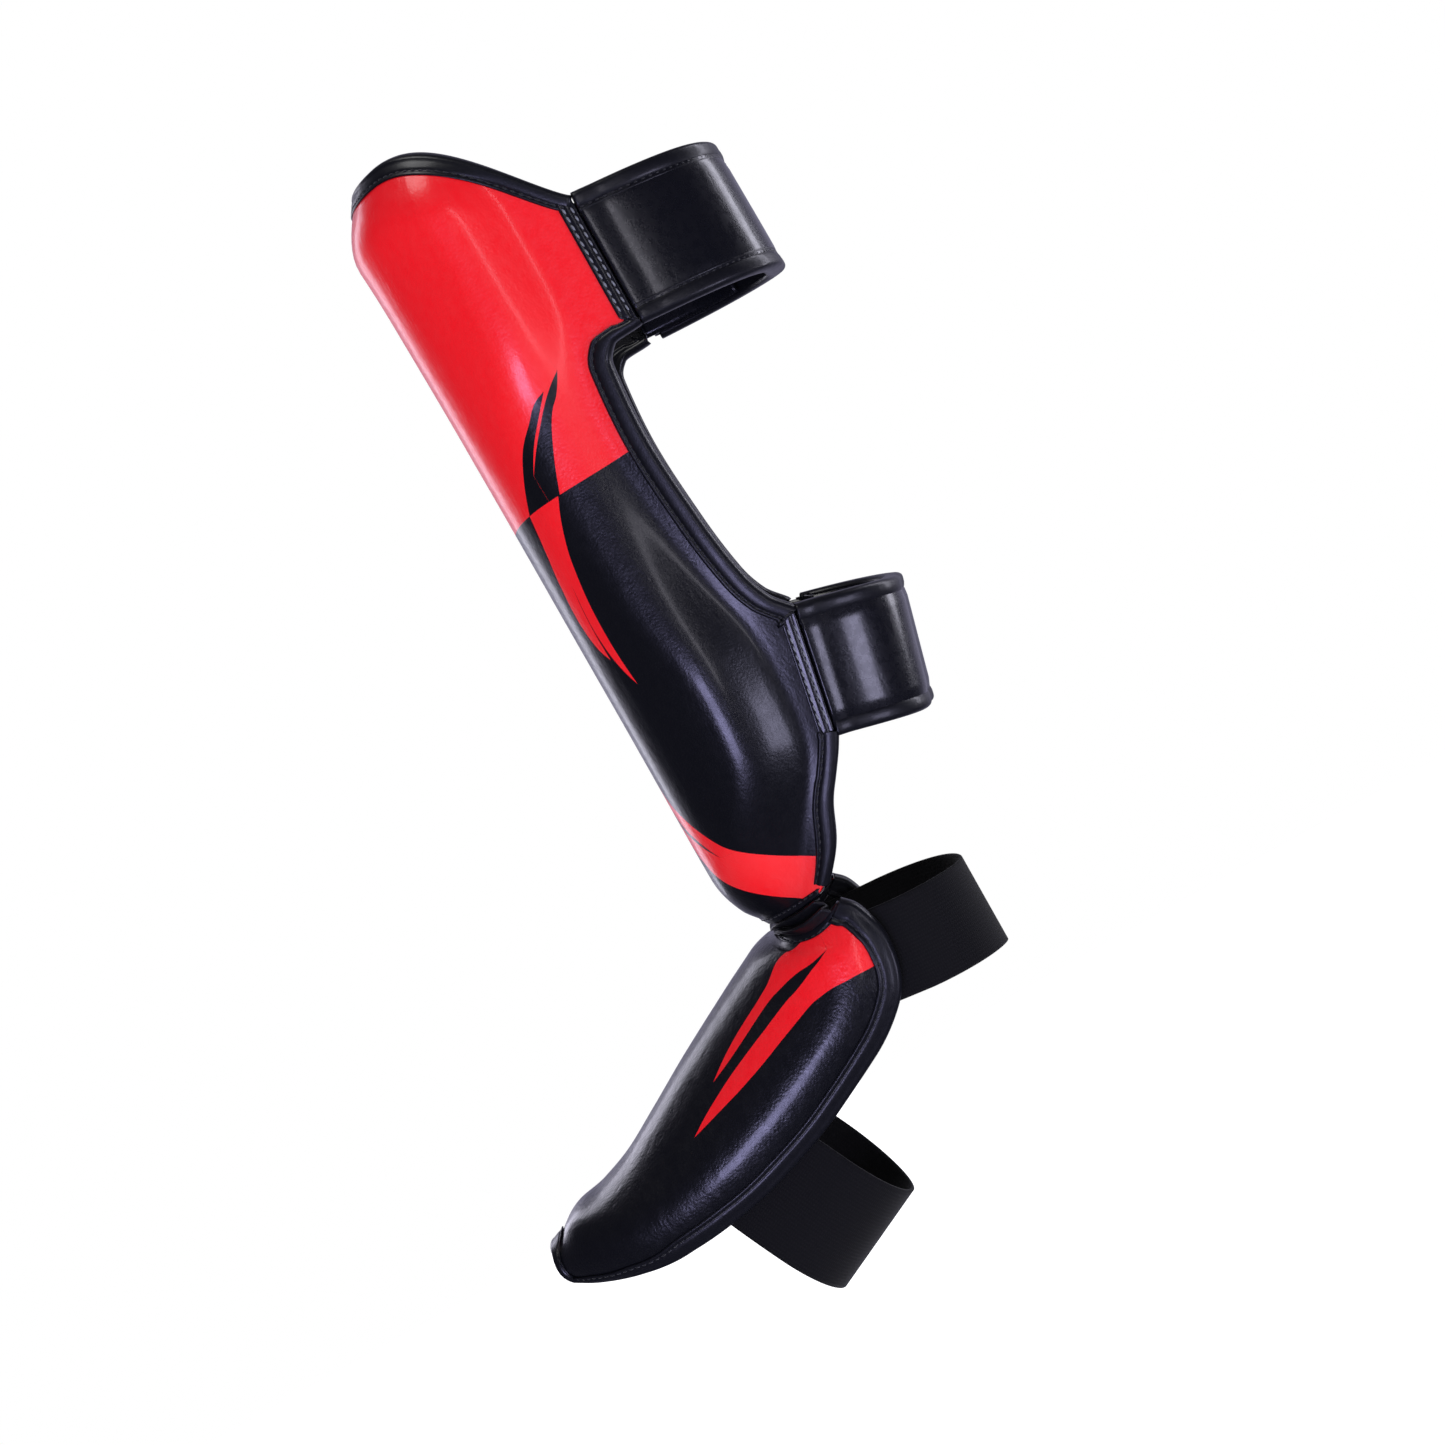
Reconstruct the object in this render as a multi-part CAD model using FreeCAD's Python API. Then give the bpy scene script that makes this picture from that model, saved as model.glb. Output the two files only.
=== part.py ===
"""Kickboxing shin and instep guard for one leg: a padded shin panel with two calf straps, and a
padded instep panel that hangs from it on a folded gusset and is held to the foot by two elastics.

Frame, in millimetres: +Z runs up the shin, -Y points to the toes and +X to the outer side of the leg.
The origin is on the leg's axis, level with the ankle fold where the two panels meet.

The body is described by the leg inside it. Every sheet of the shin panel, the tabs and the calf
straps is a layer at some distance from that leg form, and the instep's sheets lie on a foot form.
"""

import FreeCAD
import Part
import functools
import math
import os
from FreeCAD import Vector

# ---- driving dimensions -------------------------------------------------------------------------

SHIN_LENGTH = 347.0          # ankle fold to the crown of the shin panel
INSTEP_LENGTH = 170.5        # ankle fold to the toe edge, along the instep
LEG_WIDTH_SCALE = 1.0        # widens or narrows the leg and foot that the guard is made for

FRONT_PAD = 22.5             # thickness of the shin panel over the shin bone
WING = 7.5                   # thickness of the shin panel's thin wings
RIDGE_Y = -3.0               # where the thick pad steps down to the wing
RIDGE_RUN = 14.0             # width of that step
TOP_EDGE = 13.0              # thickness of the pad where the top binding closes it
BOTTOM_EDGE = 13.0           # the same at the ankle fold
TOP_ROUND = 24.0             # length over which the pad thins towards the top edge
BOTTOM_ROUND = 12.0          # the same towards the ankle fold

INSTEP_PAD = 15.0            # thickness of the instep panel
INSTEP_EDGE = 6.5            # its thickness under the binding
INSTEP_ROUND = 20.0          # length over which it thins towards its edge

COVER = 1.2                  # synthetic leather
LINING = 1.0                 # woven lining
BASE_FOAM = 4.2              # flat foam sheet that fills the whole shin panel
GAP = 0.3                    # clearance between two sheets that lie on each other

TAPE = 0.9                   # binding tape
TAPE_COVERS = 5.8            # how far the folded tape reaches in from the edge
TAPE_STANDS_OFF = 0.5        # clearance between the tape and what it wraps
TAPE_ZONE = 9.5              # even margin that a panel keeps along its edges for the tape

STRAP_CORE = 2.8             # foam strip inside a calf strap
UPPER_STRAP_WIDTH = 53.0
UPPER_STRAP_DROP = 4.0       # how much lower the strap runs at the back of the calf
UPPER_SEAM_Y = 28.0          # where the strap is sewn to the wing, from the leg's axis
CROWN_ABOVE_STRAP = 50.0     # crown of the shin panel above the upper strap's top edge
LOWER_STRAP_WIDTH = 50.0
LOWER_STRAP_DROP = 11.5
LOWER_STRAP_BASE = 64.5      # height of the lower strap's lower edge at the seam
LOWER_SEAM_Y_TOP = 24.5
LOWER_SEAM_Y_BASE = 15.0
ANKLE_EDGE_Y = -19.0         # rear edge of the shin panel at the ankle fold
CUT_DEPTH = 20.0             # how deep the panel is cut out between the two straps
STRAP_OVERLAP_END = 6.0      # distance between a strap's free end and the inner wing's seam
TAB_LENGTH = 52.0            # inner tab that a calf strap fastens to
SEAM_MARGIN = 6.5            # width of strap leather that is sewn down on the wing

LOOP_TAPE = 1.3              # soft half of the hook-and-loop fastening
HOOK_TAPE = 1.2              # hooked half
HOOK_SHARE = 0.62            # share of a strap's swinging end that the hooked half covers
TAPE_INSET = 8.0             # both halves stay this far inside the strap's edges
STITCH_LENGTH = 2.6
STITCH_PITCH = 3.6
STITCH_WIDTH = 0.7
STITCH_ROWS = (1.4, 4.2)     # distances of the two sewn rows from the edge of the margin

ANKLE_ELASTIC_WIDTH = 40.0
ANKLE_ELASTIC_DROP = 6.5     # how much lower the elastic runs behind the ankle
ANKLE_HALF_WIDTH = 35.5      # inside of the elastic, from the leg's axis
ANKLE_BACK = 35.0
FOOT_ELASTIC_WIDTH = 50.0
FOOT_ELASTIC_AT = 86.0       # middle of the elastic, from the fold along the instep
SOLE_UNDER = 98.5            # sole under the instep's middle line
FOOT_HALF_WIDTH = 37.8       # inside of the foot elastic
ANKLE_TUCK = 5.0             # how far each elastic draws in to lie inside the instep panel
FOOT_TUCK = 4.9
ELASTIC = 1.6
ELASTIC_SEWN = 15.0          # length of elastic that is sewn inside the instep panel

FOLD_TOP = 2.8               # lower edge of the shin panel's sheets, in front
FOLD_RISE = 5.6              # how much higher that edge is at the sides
FOLD_FADE = 45.0             # height over which that rise fades out

# ---- the leg and foot form ----------------------------------------------------------------------

# Share of the shin's length, front of the leg, back of the leg, half width. The front and back are
# distances along Y from the leg's axis.
LEG = (
    (-0.10, -36.0, 35.0, 33.5),
    (0.00, -37.0, 36.0, 35.0),
    (0.14, -37.5, 48.5, 41.5),
    (0.31, -37.5, 64.0, 48.5),
    (0.47, -37.5, 76.5, 53.5),
    (0.69, -37.5, 84.5, 57.5),
    (0.86, -38.5, 83.5, 58.0),
    (1.02, -42.0, 82.0, 60.0),
)
SQUARENESS = 0.03            # 0 is an ellipse; more makes the leg's section boxier

# Shape of the cut-out between the straps: height between them, depth reached.
CUT_SHAPE = ((0.0, 0.0), (0.07, 0.36), (0.17, 0.60), (0.40, 0.84), (0.70, 1.0), (0.88, 0.93),
             (0.95, 0.66), (1.0, 0.0))
# The panel's rear edge below the lower strap: share of that height, share of the way forward.
ANKLE_SHAPE = ((0.0, 1.0), (0.30, 0.66), (0.60, 0.44), (0.90, 0.10), (1.0, 0.0))

INSTEP_SLOPE = 26.0          # degrees below the horizontal
FOLD_FRONT = (-39.0, -10.5)  # start of the instep's middle line, inside the panel
# Rows across the instep, in millimetres for a length of 170.5: along and under the middle line at the
# middle, the same at the edge, and half width. Under is towards the sole.
INSTEP_ROWS = (
    (0.0, 0.0, -24.5, 0.5, 35.5),
    (4.0, 0.5, -26.3, 7.5, 36.5),
    (9.0, 1.0, -25.0, 17.0, 37.5),
    (17.0, 1.0, -19.5, 28.5, 38.5),
    (30.0, 1.0, -6.0, 40.5, 39.5),
    (48.0, 1.5, 18.0, 45.5, 40.5),
    (70.0, 2.5, 48.0, 46.0, 41.0),
    (95.0, 4.5, 78.0, 43.5, 41.0),
    (118.0, 6.0, 104.0, 38.0, 39.5),
    (137.0, 4.5, 125.5, 30.5, 36.5),
    (152.0, 0.5, 144.0, 20.5, 29.0),
    (163.0, -3.0, 158.0, 9.5, 20.0),
    (170.5, -6.5, 167.5, 0.0, 11.0),
)
INSTEP_TABLE_LENGTH = 170.5

UPPER_STRAP_TOP = SHIN_LENGTH - CROWN_ABOVE_STRAP
UPPER_STRAP_BASE = UPPER_STRAP_TOP - UPPER_STRAP_WIDTH
LOWER_STRAP_TOP = LOWER_STRAP_BASE + LOWER_STRAP_WIDTH
STRAP = LINING + STRAP_CORE + COVER + 2 * GAP
TAB = LINING + COVER
STRAP_OFF_LEG = 1.0          # the strap's lining stands this far off the leg at the outer side
SEAM_CLEARANCE = 0.8         # room between the wing's edge and the strap's first edge
BEND_CLEARANCE = 0.3         # half the room between the strap's two halves
BEND_RADIUS = 75.0           # roughly the calf's radius, where the halves meet
CLIMB_SHARE = 0.28           # share of the loose half over which it climbs over the tab
CORNER_ROOM = 7.0            # the wing's bindings stop this far from the lower strap
UPPER_CORNER_ROOM = 14.0     # and this far below the upper one, where the edge turns sharply
GUSSET_REACH = 0.9           # share of the fold's width that the gusset covers
GUSSET_SPAN = (0.03, 0.86)   # share of the gap between the panels that the gusset fills
INSTEP_TAPE_ENDS = (0.16, 0.90)   # shares of the instep's length that its side tapes cover
TOE_TAPE_SPAN = 0.55         # share of the toe edge's width that its tape covers
THREAD_CLEARANCE = 0.3
BLOCK_SHARE = 0.64           # share of the shin panel's width that the thick foam block covers
BLOCK_CLEARANCE = 0.6        # room over the block, which is cut flatter than the cover
GUSSET_PLEATS = 2
GUSSET_DEPTH = 3.0
GUSSET_PLY = 1.1
FASTENING = TAB + GAP + LOOP_TAPE + GAP + HOOK_TAPE + GAP
HALF_TURN = math.pi


def curve_through(stations, at, column=1):
    """Value of one column at a place in the first column, on a smooth curve that never overshoots."""
    xs = [s[0] for s in stations]
    ys = [s[column] for s in stations]
    at = min(max(at, xs[0]), xs[-1])
    i = max(k for k in range(len(xs) - 1) if xs[k] <= at)
    step = [(ys[k + 1] - ys[k]) / (xs[k + 1] - xs[k]) for k in range(len(xs) - 1)]

    def slope(k):
        if k == 0:
            return step[0]
        if k == len(xs) - 1:
            return step[-1]
        if step[k - 1] * step[k] <= 0:
            return 0.0
        return 2 * step[k - 1] * step[k] / (step[k - 1] + step[k])

    width = xs[i + 1] - xs[i]
    t = (at - xs[i]) / width
    return (ys[i] * (1 + 2 * t) * (1 - t) ** 2 + slope(i) * width * t * (1 - t) ** 2
            + ys[i + 1] * t * t * (3 - 2 * t) + slope(i + 1) * width * t * t * (t - 1))


def smooth_step(t):
    """Rises smoothly from 0 to 1 as t goes from 0 to 1."""
    t = min(max(t, 0.0), 1.0)
    return t * t * (3 - 2 * t)


def rounded_rise(distance, run):
    """Stays 0 across the tape's margin, then rises like a quarter of a sine wave to 1."""
    return math.sin(HALF_TURN / 2 * min(max((distance - TAPE_ZONE) / run, 0.0), 1.0))


def boxy(angle):
    """Sine and cosine of an angle on a slightly squared circle."""
    q = SQUARENESS
    return ((math.sin(angle) + q * math.sin(3 * angle)) / (1 - q),
            (math.cos(angle) - q * math.cos(3 * angle)) / (1 - q))


def leg_point(angle, z):
    """Point on the leg at a height. The angle is 0 at the shin and a half turn at the back."""
    share = z / SHIN_LENGTH
    front, back, half = (curve_through(LEG, share, column) for column in (1, 2, 3))
    middle = (front + back) / 2
    depth = (back - front) / 2
    across, along = boxy(angle)
    return Vector(half * LEG_WIDTH_SCALE * across, middle - depth * along, z)


@functools.lru_cache(maxsize=None)
def leg_angle(y, z):
    """Angle at which the leg reaches a given y, at a height."""
    low, high = 0.0, HALF_TURN
    for _ in range(40):
        middle = (low + high) / 2
        if leg_point(middle, z).y < y:
            low = middle
        else:
            high = middle
    return (low + high) / 2


# ---- the shin panel's outline -------------------------------------------------------------------

def rear_edge_y(z):
    """The shin panel's rear edge in the side view: seam, cut-out, seam, then in to the ankle."""
    if z >= UPPER_STRAP_BASE:
        return UPPER_SEAM_Y
    if z >= LOWER_STRAP_TOP:
        t = (z - LOWER_STRAP_TOP) / (UPPER_STRAP_BASE - LOWER_STRAP_TOP)
        chord = LOWER_SEAM_Y_TOP + t * (UPPER_SEAM_Y - LOWER_SEAM_Y_TOP)
        return chord - CUT_DEPTH * curve_through(CUT_SHAPE, t)
    if z >= LOWER_STRAP_BASE:
        t = (z - LOWER_STRAP_BASE) / LOWER_STRAP_WIDTH
        return LOWER_SEAM_Y_BASE + t * (LOWER_SEAM_Y_TOP - LOWER_SEAM_Y_BASE)
    t = curve_through(ANKLE_SHAPE, (z - FOLD_TOP) / (LOWER_STRAP_BASE - FOLD_TOP))
    return LOWER_SEAM_Y_BASE + t * (ANKLE_EDGE_Y - LOWER_SEAM_Y_BASE)


def edge_height(v):
    """Height of the rear edge at a share of the panel's height."""
    return FOLD_TOP + v * (UPPER_STRAP_TOP - FOLD_TOP)


def edge_share(z):
    return (z - FOLD_TOP) / (UPPER_STRAP_TOP - FOLD_TOP)


def crown_rise(y, v):
    """How far a point of the panel stands above its row's height at the rear edge."""
    fan = max(0.0, (v - 0.55) / 0.45) ** 2
    t = min(max((UPPER_SEAM_Y - y) / 54.0, 0.0), 1.0)
    return CROWN_ABOVE_STRAP * fan * math.sin(HALF_TURN / 2 * t) ** 1.2


@functools.lru_cache(maxsize=None)
def shin_form(u, v):
    """Inner surface of the shin panel. u runs from -1 to 1 across it and v from 0 to 1 up it."""
    z_edge = edge_height(v)
    angle = u * leg_angle(rear_edge_y(z_edge), z_edge)
    near_fold = max(0.0, 1 - (z_edge - FOLD_TOP) / FOLD_FADE)
    z = z_edge + crown_rise(leg_point(angle, z_edge).y, v) + FOLD_RISE * u * u * near_fold
    return leg_point(angle, z)


@functools.lru_cache(maxsize=None)
def shin_thickness(u, v):
    """Thickness of the shin panel: a thick pad in front, thin wings, rounded top and bottom."""
    p = shin_form(u, v)
    ridge = min(RIDGE_Y, rear_edge_y(edge_height(v)) - TAPE_ZONE - RIDGE_RUN / 2)
    pad = smooth_step((ridge + RIDGE_RUN / 2 - p.y) / RIDGE_RUN)
    top = rounded_rise(shin_form(u, 1.0).z - p.z, TOP_ROUND)
    base = rounded_rise(p.z - shin_form(u, 0.0).z, BOTTOM_ROUND)
    edge = TOP_EDGE if v > 0.5 else BOTTOM_EDGE
    full = edge + (FRONT_PAD - edge) * top * base
    return WING + (full - WING) * pad


# ---- the instep panel's outline -----------------------------------------------------------------

def instep_frame(along, under, x=0.0):
    """Point given along the instep's middle line and under it."""
    slope = math.radians(INSTEP_SLOPE)
    return Vector(x, FOLD_FRONT[0] - along * math.cos(slope) + under * math.sin(slope),
                  FOLD_FRONT[1] - along * math.sin(slope) - under * math.cos(slope))


@functools.lru_cache(maxsize=None)
def instep_form(u, v):
    """Inner surface of the instep panel. v runs from 0 at the ankle fold to 1 at the toes."""
    stations = [(k / (len(INSTEP_ROWS) - 1.0),) + row for k, row in enumerate(INSTEP_ROWS)]
    along, under, edge_along, edge_under, half = (
        curve_through(stations, v, column) for column in (1, 2, 3, 4, 5))
    stretch = INSTEP_LENGTH / INSTEP_TABLE_LENGTH
    across, forward = boxy(abs(u) * math.radians(84))
    down = (1 - forward) / (1 - boxy(math.radians(84))[1])
    x = half * LEG_WIDTH_SCALE * math.copysign(across, u) if u else 0.0
    return instep_frame(stretch * (along + (edge_along - along) * down),
                        under + (edge_under - under) * down, x)


@functools.lru_cache(maxsize=None)
def instep_thickness(u, v):
    """Thickness of the instep panel, which thins like a pillow towards every edge."""
    row = instep_form(u, v)
    side = (instep_form(math.copysign(1.0, u or 1.0), v) - row).Length
    fold = (instep_form(u, 0.0) - row).Length
    toe = (instep_form(u, 1.0) - row).Length
    full = 1.0
    for distance in (side, fold, toe):
        full *= rounded_rise(distance, INSTEP_ROUND)
    return INSTEP_EDGE + (INSTEP_PAD - INSTEP_EDGE) * full


# ---- the calf straps' outlines ------------------------------------------------------------------

class Strap:
    """One calf strap: where it starts at the outer wing's seam, and how it runs round the calf."""

    def __init__(self, name, base, width, drop, seam_base, seam_top):
        self.name, self.base, self.width, self.drop = name, base, width, drop
        self.seam_base, self.seam_top = seam_base, seam_top

    def seam_y(self, t):
        return self.seam_base + t * (self.seam_top - self.seam_base)

    def seam_angle(self, t, behind=0.0):
        """Angle of the seam at a share of the strap's width, or of a line that far behind it."""
        return leg_angle(self.seam_y(t) + behind, self.base + t * self.width)

    def point(self, angle, t):
        start = self.seam_angle(t)
        back = (math.cos(start) - math.cos(angle)) / (math.cos(start) + 1)
        return leg_point(angle, self.base + t * self.width - self.drop * max(0.0, back))

    def along(self, angle, t, length):
        """Angle that lies a length further round the calf."""
        speed = self.point(angle + 0.01, t).sub(self.point(angle, t)).Length / 0.01
        return angle + length / speed

    def swing(self, u, t):
        """Fixed half of the strap: u is 0 at the outer seam and 1 at the middle of the calf."""
        start = self.seam_angle(t, behind=SEAM_CLEARANCE)
        stop = HALF_TURN - BEND_CLEARANCE / BEND_RADIUS
        return self.point(start + u * (stop - start), t)

    def end(self, u, t):
        """Loose half: u is 0 at the middle of the calf and 1 at the strap's free end."""
        start = HALF_TURN + BEND_CLEARANCE / BEND_RADIUS
        stop = 2 * HALF_TURN - self.along(self.seam_angle(t), t, STRAP_OVERLAP_END)
        return self.point(start + u * (stop - start), t)

    def tab(self, u, t):
        """Tab of the inner wing: u is 0 at the inner seam and 1 at the tab's free end."""
        start = self.seam_angle(t, behind=GAP)
        angle = start + u * (self.along(start, t, TAB_LENGTH) - start)
        return self.point(2 * HALF_TURN - angle, t)

    def swing_height(self, u, t):
        return STRAP_OFF_LEG

    def end_height(self, u, t):
        """The loose half climbs over the tab and its fastening."""
        return STRAP_OFF_LEG + (FASTENING - STRAP_OFF_LEG) * smooth_step(u / CLIMB_SHARE)


# ---- building solids ----------------------------------------------------------------------------
# Points on a form are the poles of a cubic surface, which follows them closely and never overshoots.

DEGREE = 3
TOLERANCE = 0.001


def outward(form, u, v):
    """Unit vector off the leg at a point of a form."""
    step = 0.003
    u0, u1 = max(u - step, form.low), min(u + step, 1.0)
    v0, v1 = max(v - step, 0.0), min(v + step, 1.0)
    across = form.at(u1, v).sub(form.at(u0, v))
    up = form.at(u, v1).sub(form.at(u, v0))
    normal = across.cross(up).normalize()
    return normal if form.faces_out else normal.negative()


class Form:
    """A surface that sheets lie on, with a direction of its parameters that may face inwards."""

    def __init__(self, at, low=-1.0, faces_out=True):
        self.at, self.low, self.faces_out = at, low, faces_out

    def off(self, u, v, distance):
        return self.at(u, v).add(outward(self, u, v).multiply(distance))


def constant(value):
    return lambda u, v: value


def spaced(low, high, count):
    return [low + (high - low) * i / (count - 1.0) for i in range(count)]


def closed(faces):
    """One solid from faces that share their edges."""
    shell = Part.makeShell(faces)
    shell.sewShape()
    if shell.ShapeType != "Shell":
        shell = shell.Shells[0]
    solid = Part.makeSolid(shell)
    if not solid.isValid():
        solid.fix(TOLERANCE, TOLERANCE, TOLERANCE)
    if solid.Volume < 0:
        solid.reverse()
    return solid


def even_knots(poles):
    """Evenly spaced knots of a cubic that starts and ends at its first and last pole."""
    return list(range(poles - DEGREE + 1)), [DEGREE + 1] + [1] * (poles - DEGREE - 1) + [DEGREE + 1]


def layer(form, inner, outer, us, vs):
    """A sheet between two distances off a form. inner and outer are functions of u and v."""
    faces = []
    for distance in (inner, outer):
        poles = [[form.off(u, v, distance(u, v)) for u in us] for v in vs]
        (row_knots, row_times), (knots, times) = even_knots(len(vs)), even_knots(len(us))
        surface = Part.BSplineSurface()
        surface.buildFromPolesMultsKnots(poles, row_times, times, row_knots, knots, False, False,
                                         DEGREE, DEGREE)
        faces.append(surface.toShape())
    sides = [Part.makeRuledSurface(a, b) for a, b in zip(faces[0].Edges, faces[1].Edges)]
    return closed(faces + sides)


def between(first, second):
    """Straight-ruled face between two edges that run the same way."""
    poles = [edge.Curve.getPoles() for edge in (first, second)]
    knots, times = even_knots(len(poles[0]))
    surface = Part.BSplineSurface()
    surface.buildFromPolesMultsKnots(poles, [2, 2], times, [0, 1], knots, False, False, 1, DEGREE)
    return surface.toShape()


def curve(points):
    knots, times = even_knots(len(points))
    line = Part.BSplineCurve()
    line.buildFromPolesMultsKnots(points, times, knots, False, DEGREE)
    return line.toShape()


def folded(stations):
    """A strip of one thickness, folded along its length, from stations of (outer, inner) pairs."""
    pairs = range(len(stations[0]))
    outer = [curve([station[k][0] for station in stations]) for k in pairs]
    inner = [curve([station[k][1] for station in stations]) for k in pairs]
    faces = [between(outer[k], inner[k]) for k in (0, -1)]
    for k in pairs[1:]:
        faces.append(between(outer[k - 1], outer[k]))
        faces.append(between(inner[k - 1], inner[k]))
    for station in (stations[0], stations[-1]):
        walls = [Part.LineSegment(a, b).toShape() for a, b in station]
        faces += [Part.makeRuledSurface(walls[k - 1], walls[k]) for k in pairs[1:]]
    return closed(faces)


def edge_frame(form, path, i):
    """Direction off the panel's edge at one place of a path, and how the path's inside is reached."""
    u, v = path[i]
    before, after = path[max(i - 1, 0)], path[min(i + 1, len(path) - 1)]
    tangent = form.at(*after).sub(form.at(*before)).normalize()
    off = tangent.cross(outward(form, u, v)).normalize()
    across_edge = path[0][0] == path[-1][0]
    middle = (form.low + 1) / 2
    du, dv = (0.02 * (middle - u) / abs(middle - u), 0.0) if across_edge else (0.0, 0.02 - 0.04 * v)
    step = form.at(u + du, v + dv).sub(form.at(u, v))
    if off.dot(step) > 0:
        off = off.negative()
    return off, du / step.Length, dv / step.Length


def tape(form, height, path, base=constant(0)):
    """Binding tape folded over an edge. base and height give the sheets that it wraps."""
    near, far = TAPE_STANDS_OFF, TAPE_STANDS_OFF + TAPE
    stations = []
    for i, (u, v) in enumerate(path):
        off, du, dv = edge_frame(form, path, i)
        station = []
        for reach, top in ((TAPE_COVERS, 1), (TAPE_COVERS / 2, 1), (0, 1), (0, -1),
                           (TAPE_COVERS / 2, -1), (TAPE_COVERS, -1)):
            at = (u + du * reach, v + dv * reach)
            face = base(*at) + (height(*at) if top > 0 else 0.0)
            pair = []
            for clearance in (far, near):
                p = form.off(at[0], at[1], face + top * clearance)
                pair.append(p if reach else p.add(Vector(off).multiply(clearance)))
            station.append(pair)
        stations.append(station)
    return folded(stations)


def stitch(start, end):
    """One stitch of thread between two points."""
    along = end.sub(start)
    return Part.makeCylinder(STITCH_WIDTH / 2, along.Length, start, along)


def export(name, solids):
    shape = solids[0] if len(solids) == 1 else Part.makeCompound(solids)
    shape.exportStep(os.path.join("parts", name + ".step"))
    print("%-28s %3d solid(s) %9.0f mm3 %s" % (name, len(solids), sum(s.Volume for s in solids),
                                               all(s.isValid() for s in solids)))


# ---- shin panel ---------------------------------------------------------------------------------

def closer_at_ends(low, high, count):
    """Heights between two corners of the outline, closer together towards both corners."""
    return [low + (high - low) * (1 - math.cos(HALF_TURN * i / (count - 1.0))) / 2
            for i in range(count)]


def panel_rows():
    """Shares of the panel's height for its rows."""
    heights = [FOLD_TOP, LOWER_STRAP_BASE, LOWER_STRAP_TOP, UPPER_STRAP_BASE, UPPER_STRAP_TOP]
    rows = []
    for low, high, count in zip(heights, heights[1:], (14, 9, 19, 14)):
        rows += [edge_share(z) for z in closer_at_ends(low, high, count)][:-1]
    return rows + [1.0]


SHIN = Form(shin_form)


def shin_sheets():
    across, up = spaced(-1, 1, 41), panel_rows()
    foam_base = LINING + GAP
    block_base = foam_base + BASE_FOAM + GAP
    cover_inside = lambda u, v: shin_thickness(u, v) - COVER
    block_outside = lambda u, v: shin_thickness(u, v) - COVER - BLOCK_CLEARANCE
    export("shin_cover", [layer(SHIN, cover_inside, shin_thickness, across, up)])
    export("shin_lining", [layer(SHIN, constant(0), constant(LINING), across, up)])
    base = constant(foam_base)
    export("shin_base_foam", [layer(SHIN, base, constant(foam_base + BASE_FOAM), across, up)])
    block = layer(SHIN, constant(block_base), block_outside,
                  [u for u in across if abs(u) < BLOCK_SHARE], [v for v in up if 0.03 < v < 0.97])
    export("shin_impact_foam", [block])


def rear_path(low, high, side, count):
    return [(side, edge_share(z)) for z in closer_at_ends(low, high, count)]


def shin_bindings():
    top = [(u, 1.0) for u in spaced(-0.95, 0.95, 39)]
    export("shin_top_binding", [tape(SHIN, shin_thickness, top)])
    calf_low, calf_high = LOWER_STRAP_TOP + CORNER_ROOM, UPPER_STRAP_BASE - UPPER_CORNER_ROOM
    calf = [tape(SHIN, shin_thickness, rear_path(calf_low, calf_high, side, 25))
            for side in (-1, 1)]
    export("shin_calf_bindings", calf)
    low, high = FOLD_TOP + TAPE_COVERS + 2 * TAPE, LOWER_STRAP_BASE - CORNER_ROOM
    sides = [tape(SHIN, shin_thickness, rear_path(low, high, side, 13)) for side in (-1, 1)]
    fold = [(u, 0.0) for u in spaced(-0.95, 0.95, 39)]
    export("shin_lower_binding", sides + [tape(SHIN, shin_thickness, fold)])


# ---- calf straps --------------------------------------------------------------------------------

UPPER = Strap("upper", UPPER_STRAP_BASE, UPPER_STRAP_WIDTH, UPPER_STRAP_DROP, UPPER_SEAM_Y,
              UPPER_SEAM_Y)
LOWER = Strap("lower", LOWER_STRAP_BASE, LOWER_STRAP_WIDTH, LOWER_STRAP_DROP, LOWER_SEAM_Y_BASE,
              LOWER_SEAM_Y_TOP)


def strap_half(name, form, height, closed_end):
    """Cover, foam core, lining and binding of one half of a strap."""
    def above(rise):
        return lambda u, v: height(u, v) + rise

    core_base, core_top = LINING + GAP, LINING + GAP + STRAP_CORE
    across, up = spaced(0, 1, 15), spaced(0, 1, 5)
    export(name + "_lining", [layer(form, above(0), above(LINING), across, up)])
    export(name + "_core", [layer(form, above(core_base), above(core_top), across, up)])
    export(name + "_cover", [layer(form, above(core_top + GAP), above(STRAP), across, up)])
    room = (TAPE_COVERS + 2 * TAPE) / 75.0 if closed_end else 0.0
    pieces = [tape(form, constant(STRAP), [(u, v) for u in spaced(0, 1 - room, 15)], height)
              for v in (0.0, 1.0)]
    if closed_end:
        pieces.append(tape(form, constant(STRAP), [(1.0, v) for v in spaced(0, 1, 7)], height))
    export(name + "_binding", pieces)


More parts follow.
